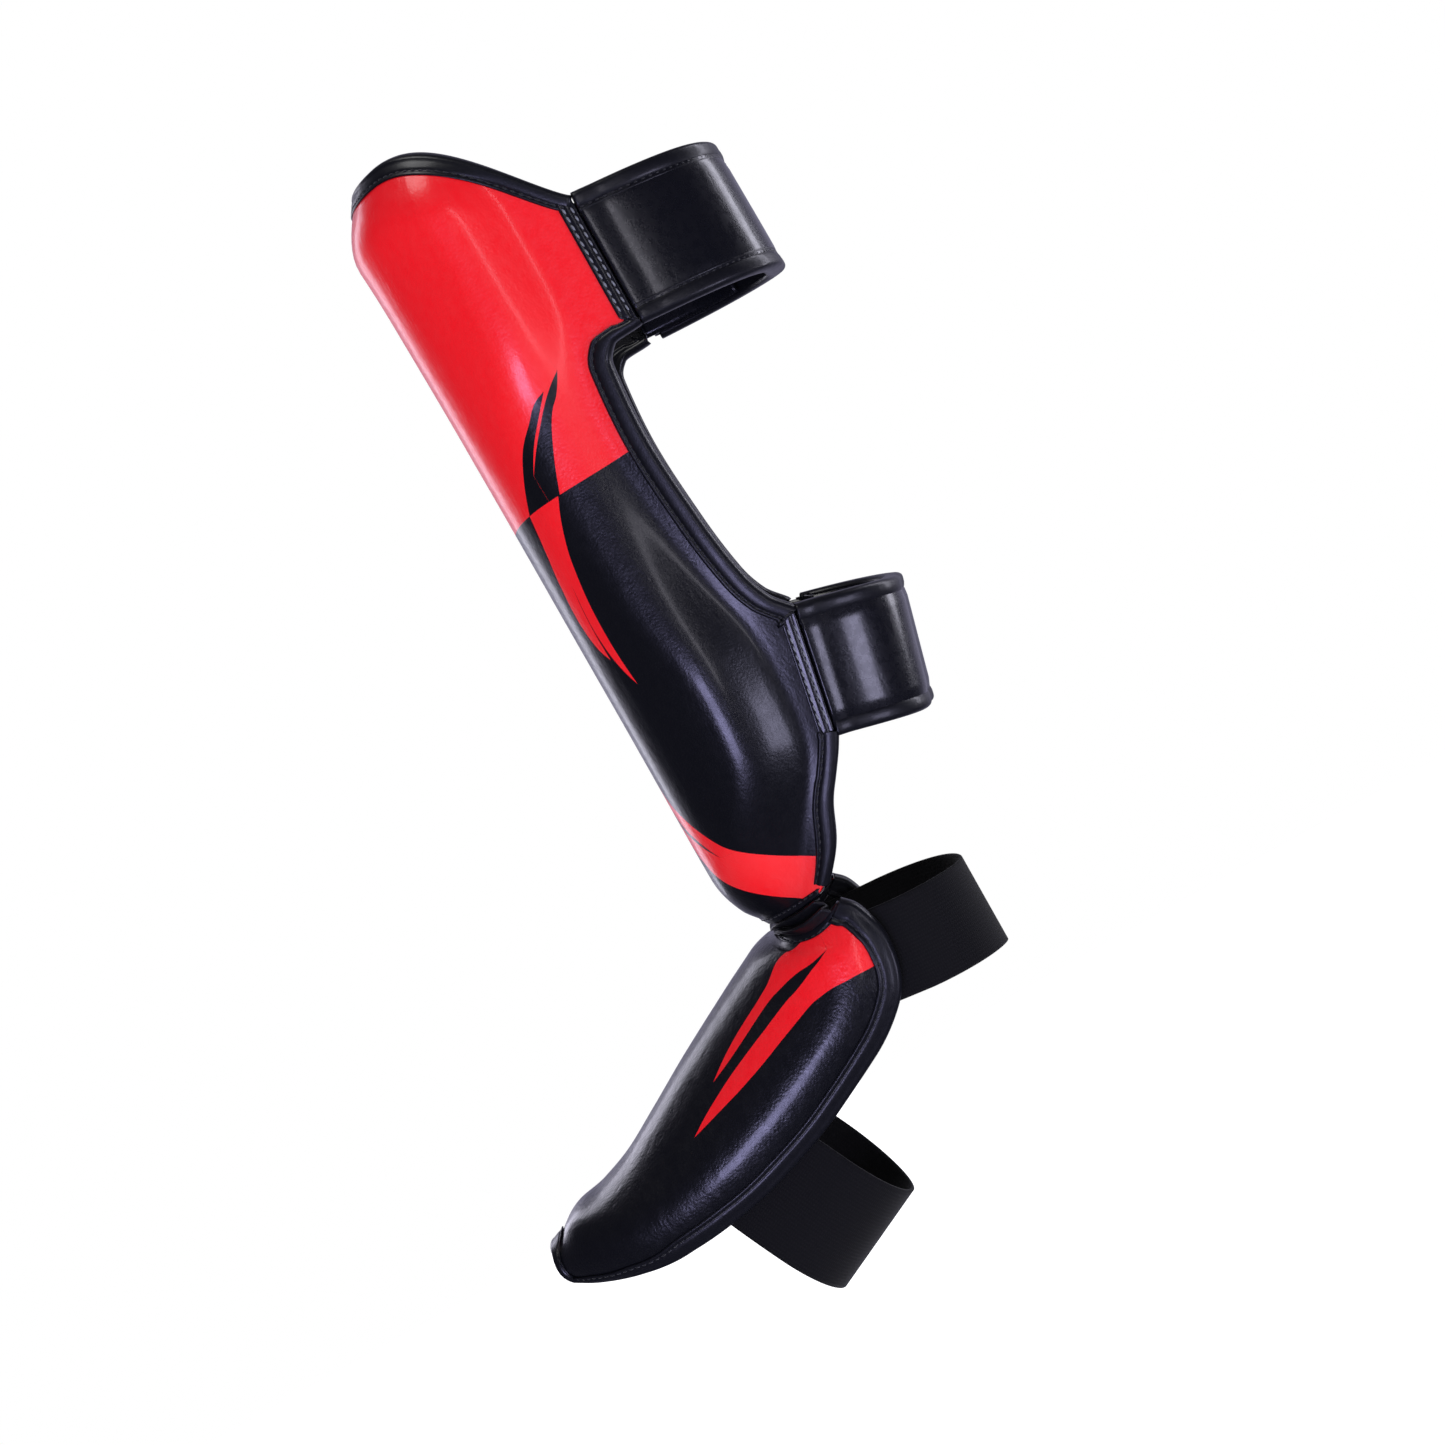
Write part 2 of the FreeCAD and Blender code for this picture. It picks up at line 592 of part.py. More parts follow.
def calf_strap(strap):
    swing = Form(strap.swing, low=0.0)
    end = Form(strap.end, low=0.0)
    tab = Form(strap.tab, low=0.0, faces_out=False)
    strap_half(strap.name + "_strap", swing, strap.swing_height, False)
    strap_half(strap.name + "_strap_end", end, strap.end_height, True)
    inset = TAPE_INSET / strap.width
    rows = spaced(inset, 1 - inset, 5)
    hook = lambda rise: (lambda u, v: FASTENING - GAP - rise)
    export(strap.name + "_strap_hook", [layer(end, hook(HOOK_TAPE), hook(0.0),
                                              spaced(1 - HOOK_SHARE, 0.86, 9), rows)])
    export(strap.name + "_tab", [layer(tab, constant(0), constant(TAB), spaced(0, 1, 9),
                                       spaced(0, 1, 5))])
    export(strap.name + "_tab_loop", [layer(tab, constant(TAB + GAP),
                                            constant(TAB + GAP + LOOP_TAPE),
                                            spaced(0.08, 0.94, 9), rows)])
    stitches = []
    count = int((strap.width - 2 * TAPE_INSET) / STITCH_PITCH)
    for side in (-1, 1):
        for row in STITCH_ROWS:
            for i in range(count):
                z = strap.base + TAPE_INSET + (i + 0.5) * STITCH_PITCH
                ends = []
                for at in (z - STITCH_LENGTH / 2, z + STITCH_LENGTH / 2):
                    v = edge_share(at)
                    u = 1 - row / (SHIN.at(1.0, v).sub(SHIN.at(0.98, v)).Length / 0.02)
                    ends.append(SHIN.off(side * u, v, WING + STITCH_WIDTH / 2 + THREAD_CLEARANCE))
                stitches.append(stitch(*ends))
    export(strap.name + "_seam_stitching", stitches)


# ---- instep panel -------------------------------------------------------------------------------

INSTEP = Form(instep_form, faces_out=False)


def instep_sheets():
    across, along = spaced(-1, 1, 33), spaced(0, 1, 37)
    inside = lambda u, v: instep_thickness(u, v) - COVER
    foam_out = lambda u, v: instep_thickness(u, v) - COVER - GAP
    export("instep_cover", [layer(INSTEP, inside, instep_thickness, across, along)])
    export("instep_foam", [layer(INSTEP, constant(LINING + GAP), foam_out, across, along)])
    export("instep_lining", [layer(INSTEP, constant(0), constant(LINING), across, along)])
    fold = [(u, 0.0) for u in spaced(-0.97, 0.97, 25)]
    toe = [(u, 1.0) for u in spaced(-TOE_TAPE_SPAN, TOE_TAPE_SPAN, 7)]
    sides = [[(side, v) for v in spaced(INSTEP_TAPE_ENDS[0], INSTEP_TAPE_ENDS[1], 31)] for side in (-1, 1)]
    export("instep_binding", [tape(INSTEP, instep_thickness, path)
                              for path in [fold, toe] + sides])


def elastic(stations, width):
    """Band of elastic along stations of (inner face, direction across the band, outward normal)."""
    pairs = []
    for p, across, normal in stations:
        edges = [p.add(Vector(across).multiply(share * width)) for share in (-0.5, 0.5)]
        pairs.append([(e.add(Vector(normal).multiply(ELASTIC)), e) for e in edges])
    return folded(pairs)


def ankle_elastic():
    """Loop that leaves the instep panel's rear edges and runs round behind the ankle."""
    stations = []
    front_y = instep_form(1.0, 0.17).y - ELASTIC_SEWN
    top = instep_form(1.0, 0.10).z
    for t in spaced(-1, 1, 41):
        run = abs(t)
        straight = 0.30
        side = -1 if t < 0 else 1
        if run > 1 - straight:
            share = (run - (1 - straight)) / straight
            p = Vector(side * (ANKLE_HALF_WIDTH - ANKLE_TUCK * share), share * front_y, 0)
            n = Vector(side, 0, 0)
        else:
            angle = run / (1 - straight) * HALF_TURN / 2
            p = Vector(side * ANKLE_HALF_WIDTH * math.sin(angle), ANKLE_BACK * math.cos(angle), 0)
            n = Vector(side * math.sin(angle) / ANKLE_HALF_WIDTH, math.cos(angle) / ANKLE_BACK,
                       0).normalize()
        drop = ANKLE_ELASTIC_DROP * (1 - run) ** 0.9
        p.z = top - ANKLE_ELASTIC_WIDTH / 2 - drop
        stations.append((p, Vector(0, 0, 1), n))
    return elastic(stations, ANKLE_ELASTIC_WIDTH)


def foot_elastic():
    """Loop that leaves the instep panel's side edges and runs under the arch of the foot."""
    half = FOOT_HALF_WIDTH * LEG_WIDTH_SCALE
    bend = 34.0
    top = 44.0 - ELASTIC_SEWN
    width_axis = instep_frame(1, 0).sub(instep_frame(0, 0))
    under_axis = instep_frame(0, 1).sub(instep_frame(0, 0))
    stations = []
    for t in spaced(-1, 1, 41):
        run, side, straight = abs(t), -1 if t < 0 else 1, 0.36
        if run > 1 - straight:
            share = (run - (1 - straight)) / straight
            under = (SOLE_UNDER - bend) + share * (top - (SOLE_UNDER - bend))
            p = instep_frame(FOOT_ELASTIC_AT, under, side * (half - FOOT_TUCK * share * share))
            n = Vector(side, 0, 0)
        else:
            angle = run / (1 - straight) * HALF_TURN / 2
            p = instep_frame(FOOT_ELASTIC_AT, SOLE_UNDER - bend + bend * math.cos(angle),
                             side * half * math.sin(angle))
            n = Vector(side * math.sin(angle) / half, 0, 0)
            n = n.add(Vector(under_axis).multiply(math.cos(angle) / bend)).normalize()
        stations.append((p, width_axis, n))
    return elastic(stations, FOOT_ELASTIC_WIDTH)


# ---- ankle gusset -------------------------------------------------------------------------------

def ankle_gusset():
    """Pleated strip between the two panels' bound edges."""
    path = [(u, 0.0) for u in spaced(-GUSSET_REACH, GUSSET_REACH, 21)]
    clear = TAPE_STANDS_OFF + TAPE + GAP
    stations = []
    for i, (u, v) in enumerate(path):
        high = SHIN.off(u, v, shin_thickness(u, v) / 2)
        high = high.add(edge_frame(SHIN, path, i)[0].multiply(clear))
        low = INSTEP.off(u, v, INSTEP_EDGE + 2 * clear)
        up = high.sub(low)
        n = outward(SHIN, u, v)
        n = n.sub(Vector(up).multiply(n.dot(up) / up.dot(up))).normalize()
        station = []
        for k in range(2 * GUSSET_PLEATS + 1):
            share = GUSSET_SPAN[0] + k / (2.0 * GUSSET_PLEATS) * (GUSSET_SPAN[1] - GUSSET_SPAN[0])
            depth = GUSSET_DEPTH * (k % 2)
            p = low.add(Vector(up).multiply(share))
            station.append([p.add(Vector(n).multiply(depth)),
                            p.add(Vector(n).multiply(depth - GUSSET_PLY))])
        stations.append(station)
    return folded(stations)


os.makedirs("parts", exist_ok=True)
shin_sheets()
shin_bindings()
for each in (UPPER, LOWER):
    calf_strap(each)
instep_sheets()
export("ankle_elastic", [ankle_elastic()])
export("foot_elastic", [foot_elastic()])
export("ankle_gusset", [ankle_gusset()])
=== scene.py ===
# %% [markdown]
# # A kickboxing shin and instep guard
# The guard is a thick foam panel over the shin, a smaller one over the instep, two padded straps
# round the calf and two elastic bands round the ankle and foot. Everything is covered in synthetic
# leather, printed in red and black, and every edge is bound with folded tape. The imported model
# gives the bodies that move, so the first step loads it and keeps the size of its box.

# %% Load the fixed frame
import bpy
import math
import numpy as np
from mathutils import Matrix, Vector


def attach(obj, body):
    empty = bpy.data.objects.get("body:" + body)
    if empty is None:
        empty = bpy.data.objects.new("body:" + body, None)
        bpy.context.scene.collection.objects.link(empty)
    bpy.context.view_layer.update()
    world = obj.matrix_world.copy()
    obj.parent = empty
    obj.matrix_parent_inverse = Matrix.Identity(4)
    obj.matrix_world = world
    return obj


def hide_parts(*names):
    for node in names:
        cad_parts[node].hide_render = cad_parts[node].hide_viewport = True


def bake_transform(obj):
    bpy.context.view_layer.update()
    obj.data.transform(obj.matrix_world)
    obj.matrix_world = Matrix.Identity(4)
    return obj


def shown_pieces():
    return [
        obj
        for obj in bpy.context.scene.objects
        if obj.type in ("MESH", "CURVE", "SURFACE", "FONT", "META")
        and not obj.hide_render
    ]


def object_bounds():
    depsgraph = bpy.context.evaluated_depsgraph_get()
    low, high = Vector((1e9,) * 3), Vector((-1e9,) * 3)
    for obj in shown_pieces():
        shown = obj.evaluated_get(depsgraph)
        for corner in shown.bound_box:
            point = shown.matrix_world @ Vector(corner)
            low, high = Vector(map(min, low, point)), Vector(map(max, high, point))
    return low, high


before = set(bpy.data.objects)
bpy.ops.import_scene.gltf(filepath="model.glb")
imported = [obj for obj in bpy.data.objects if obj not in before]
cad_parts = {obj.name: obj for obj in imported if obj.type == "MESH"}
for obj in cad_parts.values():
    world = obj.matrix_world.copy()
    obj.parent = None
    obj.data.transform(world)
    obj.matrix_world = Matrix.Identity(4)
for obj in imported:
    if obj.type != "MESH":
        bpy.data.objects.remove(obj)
cad_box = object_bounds()
MM = 0.001

# %% [markdown]
# ## Surfaces as grids
# A sewn panel is a sheet with two directions, so it is a grid: a function turns two parameters into
# points, all at once, and the grid becomes a mesh. A pad is two such grids, one over the other,
# joined by a wall round their rims. A modelled cube with subdivision would do for a cushion, but it
# wouldn't lie on a leg as exactly as a formula does.

# %% Grids to meshes
def quads_of(rows, columns, first=0):
    """Four corners of every cell of a grid, turning from columns to rows."""
    at = np.arange(rows * columns).reshape(rows, columns) + first
    return np.stack([at[:-1, :-1], at[:-1, 1:], at[1:, 1:], at[1:, :-1]], -1).reshape(-1, 4)


def put_mesh(name, points, quads, uv=None, turned=False):
    """A smooth mesh from points in millimetres. uv is each point's place on the flat pattern."""
    quads = quads[:, ::-1] if turned else quads
    mesh = bpy.data.meshes.new(name)
    mesh.from_pydata((points.reshape(-1, 3) * MM).tolist(), [], quads.tolist())
    if uv is not None:
        layer = mesh.uv_layers.new(name="pattern")
        layer.data.foreach_set("uv", uv.reshape(-1, 2)[quads.ravel()].astype(np.float32).ravel())
    mesh.shade_smooth()
    piece = bpy.data.objects.new(name, mesh)
    bpy.context.scene.collection.objects.link(piece)
    print("%-28s %6d faces" % (name, len(quads)))
    return piece


def sheet_mesh(name, points, thickness, uv=None, turned=False):
    """A thin sheet: the grid is its outer face, and Solidify adds the thickness inwards."""
    piece = put_mesh(name, points, quads_of(*points.shape[:2]), uv, turned)
    solidify = piece.modifiers.new("thickness", "SOLIDIFY")
    solidify.thickness = thickness * MM
    solidify.offset = -1.0
    solidify.use_even_offset = True
    return piece


def rim_of(rows, columns):
    """Grid places once round the outside."""
    at = np.arange(rows * columns).reshape(rows, columns)
    return np.concatenate([at[0, :-1], at[:-1, -1], at[-1, :0:-1], at[:0:-1, 0]])


def faces_in(grid, centre):
    """Whether a grid's faces look towards a centre. Their normal is columns crossed with rows."""
    i, j = grid.shape[0] // 2, grid.shape[1] // 2
    normal = np.cross(grid[i, j + 1] - grid[i, j], grid[i + 1, j] - grid[i, j])
    return bool(normal @ (grid[i, j] - centre[i, j]) < 0)


def pad_mesh(name, outer, inner, uv=None):
    """A closed pad between an outer and an inner grid of the same size."""
    rows, columns = outer.shape[:2]
    count = rows * columns
    rim = rim_of(rows, columns)
    after = np.roll(rim, -1)
    wall = np.stack([rim, rim + count, after + count, after], -1)
    quads = np.concatenate([quads_of(rows, columns), quads_of(rows, columns, count)[:, ::-1], wall])
    uv = None if uv is None else np.concatenate([uv.reshape(-1, 2)] * 2)
    points = np.concatenate([outer.reshape(-1, 3), inner.reshape(-1, 3)])
    return put_mesh(name, points, quads, uv, faces_in(outer, inner))


# %% [markdown]
# ## The leg inside
# The guard keeps the shape of the leg it was made for. Each height of the leg has a front, a back
# and a half width, and a slightly squared ellipse joins them. These are the same sizes as the
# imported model's, so each grid lies where that model's solid does.

# %% The leg form
SHIN_LENGTH = 347.0
# Share of the shin's length, front of the leg, back of the leg, half width, in millimetres.
LEG = np.array([
    (-0.10, -36.0, 35.0, 33.5), (0.00, -37.0, 36.0, 35.0), (0.14, -37.5, 48.5, 41.5),
    (0.31, -37.5, 64.0, 48.5), (0.47, -37.5, 76.5, 53.5), (0.69, -37.5, 84.5, 57.5),
    (0.86, -38.5, 83.5, 58.0), (1.02, -42.0, 82.0, 60.0)])
SQUARENESS = 0.03


def curve_through(stations, at, column=1):
    """A cubic through one column against the first. Its slope at a station is the harmonic mean of
    the slopes on its two sides, or flat at a turn, so it never overshoots."""
    x, y = stations[:, 0], stations[:, column]
    at = np.clip(at, x[0], x[-1])
    i = np.clip(np.searchsorted(x, at, side="right") - 1, 0, len(x) - 2)
    width = np.diff(x)
    step = np.diff(y) / width
    a, b = step[:-1], step[1:]
    total = np.where(a + b == 0, 1, a + b)
    slope = np.concatenate([step[:1], np.where(a * b > 0, 2 * a * b / total, 0), step[-1:]])
    t = (at - x[i]) / width[i]
    return (y[i] * (1 + 2 * t) * (1 - t) ** 2 + slope[i] * width[i] * t * (1 - t) ** 2
            + y[i + 1] * t * t * (3 - 2 * t) + slope[i + 1] * width[i] * t * t * (t - 1))


def smooth_step(t):
    """0 to 1 with no slope at either end: 3 t squared less 2 t cubed."""
    t = np.clip(t, 0, 1)
    return t * t * (3 - 2 * t)


def boxy(angle):
    """Sine and cosine with a little of their third harmonic, which squares the circle."""
    q = SQUARENESS
    return ((np.sin(angle) + q * np.sin(3 * angle)) / (1 - q),
            (np.cos(angle) - q * np.cos(3 * angle)) / (1 - q))


def leg_point(angle, z):
    """Point on the leg at a height. The angle is 0 at the shin and a half turn at the back."""
    share = z / SHIN_LENGTH
    front, back, half = (curve_through(LEG, share, column) for column in (1, 2, 3))
    across, along = boxy(angle)
    y = (front + back) / 2 - (back - front) / 2 * along
    return np.stack(np.broadcast_arrays(half * across, y, z), -1)


def leg_angle(y, z):
    """Angle at which the leg reaches a given y, by halving the range forty times."""
    low = np.zeros(np.broadcast(y, z).shape)
    high = low + np.pi
    for _ in range(40):
        middle = (low + high) / 2
        short = leg_point(middle, z)[..., 1] < y
        low, high = np.where(short, middle, low), np.where(short, high, middle)
    return (low + high) / 2


TURNED_FORMS = []  # forms on which u crossed with v points at the leg
NORMAL_STEP = 0.003  # share of a form's length, on both sides of the point


def outward(form, u, v, low=-1.0):
    """Unit normal of a form: two small steps along its parameters, crossed. u starts at low."""
    step = NORMAL_STEP
    across = form(np.minimum(u + step, 1), v) - form(np.maximum(u - step, low), v)
    up = form(u, np.minimum(v + step, 1)) - form(u, np.maximum(v - step, 0))
    normal = np.cross(across, up)
    normal /= np.linalg.norm(normal, axis=-1, keepdims=True)
    return -normal if form in TURNED_FORMS else normal


def off(form, u, v, distance, low=-1.0):
    """Points that stand off a form by a distance."""
    distance = np.asarray(distance, float)
    distance = distance[..., None] if distance.ndim else distance
    return form(u, v) + outward(form, u, v, low) * distance


def unevenness(a, b, size, seed=0.0):
    """Soft dents of hand-laid leather: three crossing sine waves of odd lengths, in millimetres."""
    return size / 3 * (np.sin(a / 23 + b / 37 + seed) + np.sin(a / 15 - b / 31 + 2.1 + seed)
                       + np.sin(b / 19 + a / 53 + 4.2 * seed))


# %% [markdown]
# ## The shin panel's outline
# Across the panel u runs from the inner wing to the outer one, and v runs up it. The rear edge is
# straight at the two straps, cut out between them and drawn forward to the ankle. Towards the top
# the rows fan out upwards into the crown over the knee's lower edge.

# %% Shin panel form
LOWER_BASE, LOWER_TOP, UPPER_BASE, UPPER_TOP = 64.5, 114.5, 244.0, 297.0
LOWER_SEAM, UPPER_SEAM = (15.0, 24.5), (28.0, 28.0)  # y of each seam at its base and top
ANKLE_EDGE_Y, CUT_DEPTH, CROWN = -19.0, 20.0, 50.0
FOLD_TOP, FOLD_RISE, FOLD_FADE = 2.8, 5.6, 45.0  # base edge, its rise at the sides
FAN_FROM, FAN_REACH = 0.55, 54.0  # where the rows start to fan out, and y run
CUT_SHAPE = np.array([(0.0, 0.0), (0.07, 0.36), (0.17, 0.60), (0.40, 0.84), (0.70, 1.0),
                      (0.88, 0.93), (0.95, 0.66), (1.0, 0.0)])
ANKLE_SHAPE = np.array([(0.0, 1.0), (0.30, 0.66), (0.60, 0.44), (0.90, 0.10), (1.0, 0.0)])


def rear_edge_y(z):
    """y of the rear edge at a height: seam, cut-out, seam, and forward to the ankle."""
    t = (z - LOWER_TOP) / (UPPER_BASE - LOWER_TOP)
    cut = (LOWER_SEAM[1] + t * (UPPER_SEAM[0] - LOWER_SEAM[1])
           - CUT_DEPTH * curve_through(CUT_SHAPE, t))
    s = (z - LOWER_BASE) / (LOWER_TOP - LOWER_BASE)
    seam = LOWER_SEAM[0] + s * (LOWER_SEAM[1] - LOWER_SEAM[0])
    drawn = curve_through(ANKLE_SHAPE, (z - FOLD_TOP) / (LOWER_BASE - FOLD_TOP))
    ankle = LOWER_SEAM[0] + drawn * (ANKLE_EDGE_Y - LOWER_SEAM[0])
    return np.where(z >= UPPER_BASE, UPPER_SEAM[0],
                    np.where(z >= LOWER_TOP, cut, np.where(z >= LOWER_BASE, seam, ankle)))


REAR_Z = np.linspace(FOLD_TOP, UPPER_TOP, 1201)
REAR_ANGLE = leg_angle(rear_edge_y(REAR_Z), REAR_Z)


def edge_height(v):
    """Height of a row at the rear edge: v shares it out evenly from fold to strap."""
    return FOLD_TOP + v * (UPPER_TOP - FOLD_TOP)


def edge_share(z):
    """The row that meets the rear edge at a height."""
    return (z - FOLD_TOP) / (UPPER_TOP - FOLD_TOP)


def shin(u, v):
    """Inner face of the shin panel: rows round the leg, lifted towards the crown in front by a
    quarter sine wave, and at the fold's sides by the square of u."""
    z = edge_height(v)
    angle = u * np.interp(z, REAR_Z, REAR_ANGLE)
    y = leg_point(angle, z)[..., 1]
    fan = np.maximum(0, (v - FAN_FROM) / (1 - FAN_FROM)) ** 2
    forward = np.clip((UPPER_SEAM[0] - y) / FAN_REACH, 0, 1)
    crown = CROWN * fan * np.sin(np.pi / 2 * forward) ** 1.2
    near_fold = np.maximum(0, 1 - (z - FOLD_TOP) / FOLD_FADE)
    return leg_point(angle, z + crown + FOLD_RISE * u * u * near_fold)


# %% [markdown]
# ## How thick the shin panel is
# Over the bone lies a foam block about 22 mm thick. It ends in a soft step, the long ridge down the
# side of the panel, and behind it the wings are thin enough to bend round the calf. At the top and
# the bottom the block is shaved so that tape can close the edge.

# %% Shin panel thickness
FRONT_PAD, WING, TOP_EDGE, FOLD_EDGE = 22.5, 7.5, 8.0, 15.0
TOP_ROUND, FOLD_ROUND = 25.0, 10.0  # over which the block thins to its edges
RIDGE_Y, RIDGE_RUN, TAPED = -4.0, 25.0, 8.5  # the step, and the strip kept for the tape
RIDGE_BLEND, RIDGE_BLUR = 7.0, 9.0


def rounded_rise(distance, run):
    """A quarter of a sine wave: 0 at the edge, and 1 from a run's length inside it."""
    return np.sin(np.pi / 2 * np.clip(distance / run, 0, 1))


def lower_of(a, b, blend):
    """The smaller of two values, rounded where they cross."""
    h = np.clip(0.5 + (b - a) / (2 * blend), 0, 1)
    return b + (a - b) * h - blend * h * (1 - h)


def ridge_line():
    """y of the ridge at every height: ahead of the rear edge, and smoothed by a bell curve."""
    raw = lower_of(RIDGE_Y, rear_edge_y(REAR_Z) - TAPED - RIDGE_RUN / 2, RIDGE_BLEND)
    reach = int(3 * RIDGE_BLUR / (REAR_Z[1] - REAR_Z[0]))
    bell = np.exp(-0.5 * (np.arange(-reach, reach + 1) / reach * 3) ** 2)
    return np.convolve(np.pad(raw, reach, mode="edge"), bell / bell.sum(), mode="valid")


RIDGE = ridge_line()


def shin_thickness(u, v):
    """The block thinned towards the crown and the fold, and stepped down to the wing behind."""
    p = shin(u, v)
    ridge = np.interp(edge_height(v), REAR_Z, RIDGE)
    pad = smooth_step((ridge + RIDGE_RUN / 2 - p[..., 1]) / RIDGE_RUN)
    top = rounded_rise(shin(u, 1.0 + 0 * v)[..., 2] - p[..., 2], TOP_ROUND)
    base = rounded_rise(p[..., 2] - shin(u, 0 * v)[..., 2], FOLD_ROUND)
    shaved = np.minimum(TOP_EDGE + (FRONT_PAD - TOP_EDGE) * top,
                        FOLD_EDGE + (FRONT_PAD - FOLD_EDGE) * base)
    return WING + (shaved - WING) * pad


# %% Build the shin pad and its lining
def rows_between(*counts):
    """Rows up the panel, with one on every corner of its outline."""
    heights = (FOLD_TOP, LOWER_BASE, LOWER_TOP, UPPER_BASE, UPPER_TOP)
    parts = []
    for low, high, count in zip(heights, heights[1:], counts):
        even = np.linspace(0, 1, count, endpoint=False)
        parts.append(low + (high - low) * (1 - np.cos(np.pi * even)) / 2)
    return edge_share(np.append(np.concatenate(parts), UPPER_TOP))[:, None]


def lengths_along(points, axis):
    """Distance travelled along a grid's rows or columns, in millimetres, from its first line."""
    step = np.linalg.norm(np.diff(points, axis=axis), axis=-1)
    total = np.cumsum(step, axis=axis)
    return np.insert(total, 0, 0, axis=axis)


PRINT_WIDTH, PRINT_HEIGHT = 160.0, 360.0  # size of the flat print, in millimetres
LINING, LINING_GAP, SHIN_DENTS = 1.0, 0.3, 0.22
u, v = np.linspace(-1, 1, 161)[None, :], rows_between(44, 26, 66, 40)
thick = shin_thickness(u, v)
outer = off(shin, u, v, thick)
arc = lengths_along(outer, 1)
arc = np.abs(arc - arc[:, 80:81])  # from the middle line, which is column 80
inside = np.clip((1 - np.abs(u)) * 6, 0, 1)
dents = unevenness(arc * np.sign(u + 1e-9), outer[..., 2], SHIN_DENTS) * inside
outer = off(shin, u, v, thick + dents)
inner = off(shin, u, v, LINING + LINING_GAP)
print_map = np.stack([arc / PRINT_WIDTH, outer[..., 2] / PRINT_HEIGHT], -1)
shin_pad = pad_mesh("shin_pad", outer, inner, print_map)
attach(shin_pad, "shin")
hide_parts("shin_cover", "shin_base_foam", "shin_impact_foam")


def cloth_map(points):
    """A flat pattern in metres, for weaves: lengths along both directions of the sheet."""
    return np.stack([lengths_along(points, 1), lengths_along(points, 0)], -1) * MM


def declare_sheet(piece, points):
    """Says that a piece is a sheet, and how large it was cut."""
    width = lengths_along(points, 1)[:, -1].max() * MM
    length = lengths_along(points, 0)[-1].max() * MM
    print("%-28s sheet %.0f x %.0f mm" % (piece.name, width / MM, length / MM))


points = off(shin, u[:, ::2], v[::2], LINING)
shin_lining = sheet_mesh("shin_lining_cloth", points, LINING, cloth_map(points))
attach(shin_lining, "shin")
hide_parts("shin_lining")
declare_sheet(shin_lining, points)

# %% [markdown]
# ## Rolled binding
# The tape starts on the outer face, rolls over the edge and ends on the inner face. A row of
# stitches pulls it down a third of the way in, and it swells on both sides of that row. Its section
# is drawn once, as distances in from the edge and off the faces, and carried along the edge.

# %% Binding along an edge
TAPE, TAPE_REACH, STITCH_AT, TAPE_BULGE = 0.9, 7.2, 5.0, 2.6
FACE_REACH = np.array([7.2, 7.0, 6.5, 5.9, 5.4, 5.0, 4.6, 4.0, 3.2, 2.2, 1.1])
ROLL = np.linspace(0, np.pi, 15)


def tape_lift(reach):
    """Height of the tape over a face: an edge that turns down, a swell, a groove and the roll."""
    swell = 1.15 * np.sqrt(np.clip(TAPE_REACH + 0.05 - reach, 0, 1))
    groove = 0.7 * np.exp(-((reach - STITCH_AT) / 0.62) ** 2)
    return 0.1 + swell + 0.45 * smooth_step((4.6 - reach) / 3) - groove


def edge_frame(form, u, v, low=-1.0):
    """Along an edge: its points, the normals, the way off the panel, and the change of u and of v
    that goes a millimetre inwards (least squares, held back where the two run side by side)."""
    p, n = form(u, v), outward(form, u, v, low)
    tangent = np.gradient(p, axis=0)
    away = np.cross(tangent, n)
    away /= np.linalg.norm(away, axis=-1, keepdims=True)
    middle = (low + 1) / 2
    inward = form(u + 0.04 * (middle - u), v + 0.04 * (0.5 - v)) - p
    away *= -np.sign((away * inward).sum(-1, keepdims=True))
    near_u, near_v = (where + np.where(where > centre, -0.004, 0.004)
                      for where, centre in ((u, middle), (v, 0.5)))
    by_u = (form(near_u, v) - p) / (near_u - u)[:, None]
    by_v = (form(u, near_v) - p) / (near_v - v)[:, None]
    dot = lambda first, second: (first * second).sum(-1)
    a, b, c = dot(by_u, by_u), dot(by_u, by_v), dot(by_v, by_v)
    to_u, to_v = -dot(by_u, away), -dot(by_v, away)
    steady = 0.01 * (a + c)  # keeps the step short at sharp corners
    a, c = a + steady, c + steady
    size = a * c - b * b
    return p, n, away, (c * to_u - b * to_v) / size, (a * to_v - b * to_u) / size


def tape_grid(form, height, u, v, low=-1.0, base=None, size=1.0):
    """The tape's outer face, carried along an edge: in over the face, round a half turn, and back
    in under it. height is the panel's thickness, base how far it stands off, and size makes the
    tape narrower and flatter."""
    base = base or (lambda u, v: 0 * u * v)
    p, n, away, du, dv = edge_frame(form, u, v, low)
    bulge = TAPE_BULGE * size
    columns = []
    for reach in FACE_REACH:
        a, b = u + du * reach * size, v + dv * reach * size
        columns.append(off(form, a, b, base(a, b) + height(a, b) + size * tape_lift(reach), low))
    b0, t0 = base(u, v), height(u, v)
    half, middle = t0 / 2 + size * tape_lift(0.0), b0 + t0 / 2
    for turn in ROLL:
        roll = abs(math.cos(turn)) ** 0.8 * math.copysign(1, math.cos(turn))
        columns.append(p + n * (middle + half * roll)[:, None]
                       + away * bulge * math.sin(turn) ** 0.9)
    for reach in FACE_REACH[::-1]:
        a, b = u + du * reach * size, v + dv * reach * size
        columns.append(off(form, a, b, base(a, b) - 0.55 * size * tape_lift(reach), low))
    return np.stack(columns, 1)


# %% [markdown]
# ## Stitches
# A stitch is a short length of thread that dips into the leather at both ends. One stitch is a few
# faces, drawn once, and the whole row is made by adding it to every place along a line.

# %% Rows of stitches
STITCH, PITCH, THREAD = 2.7, 3.6, 0.75
LINE = np.linspace(-1, 1, 7)
AROUND = np.linspace(0, 2 * np.pi, 7)[:-1]


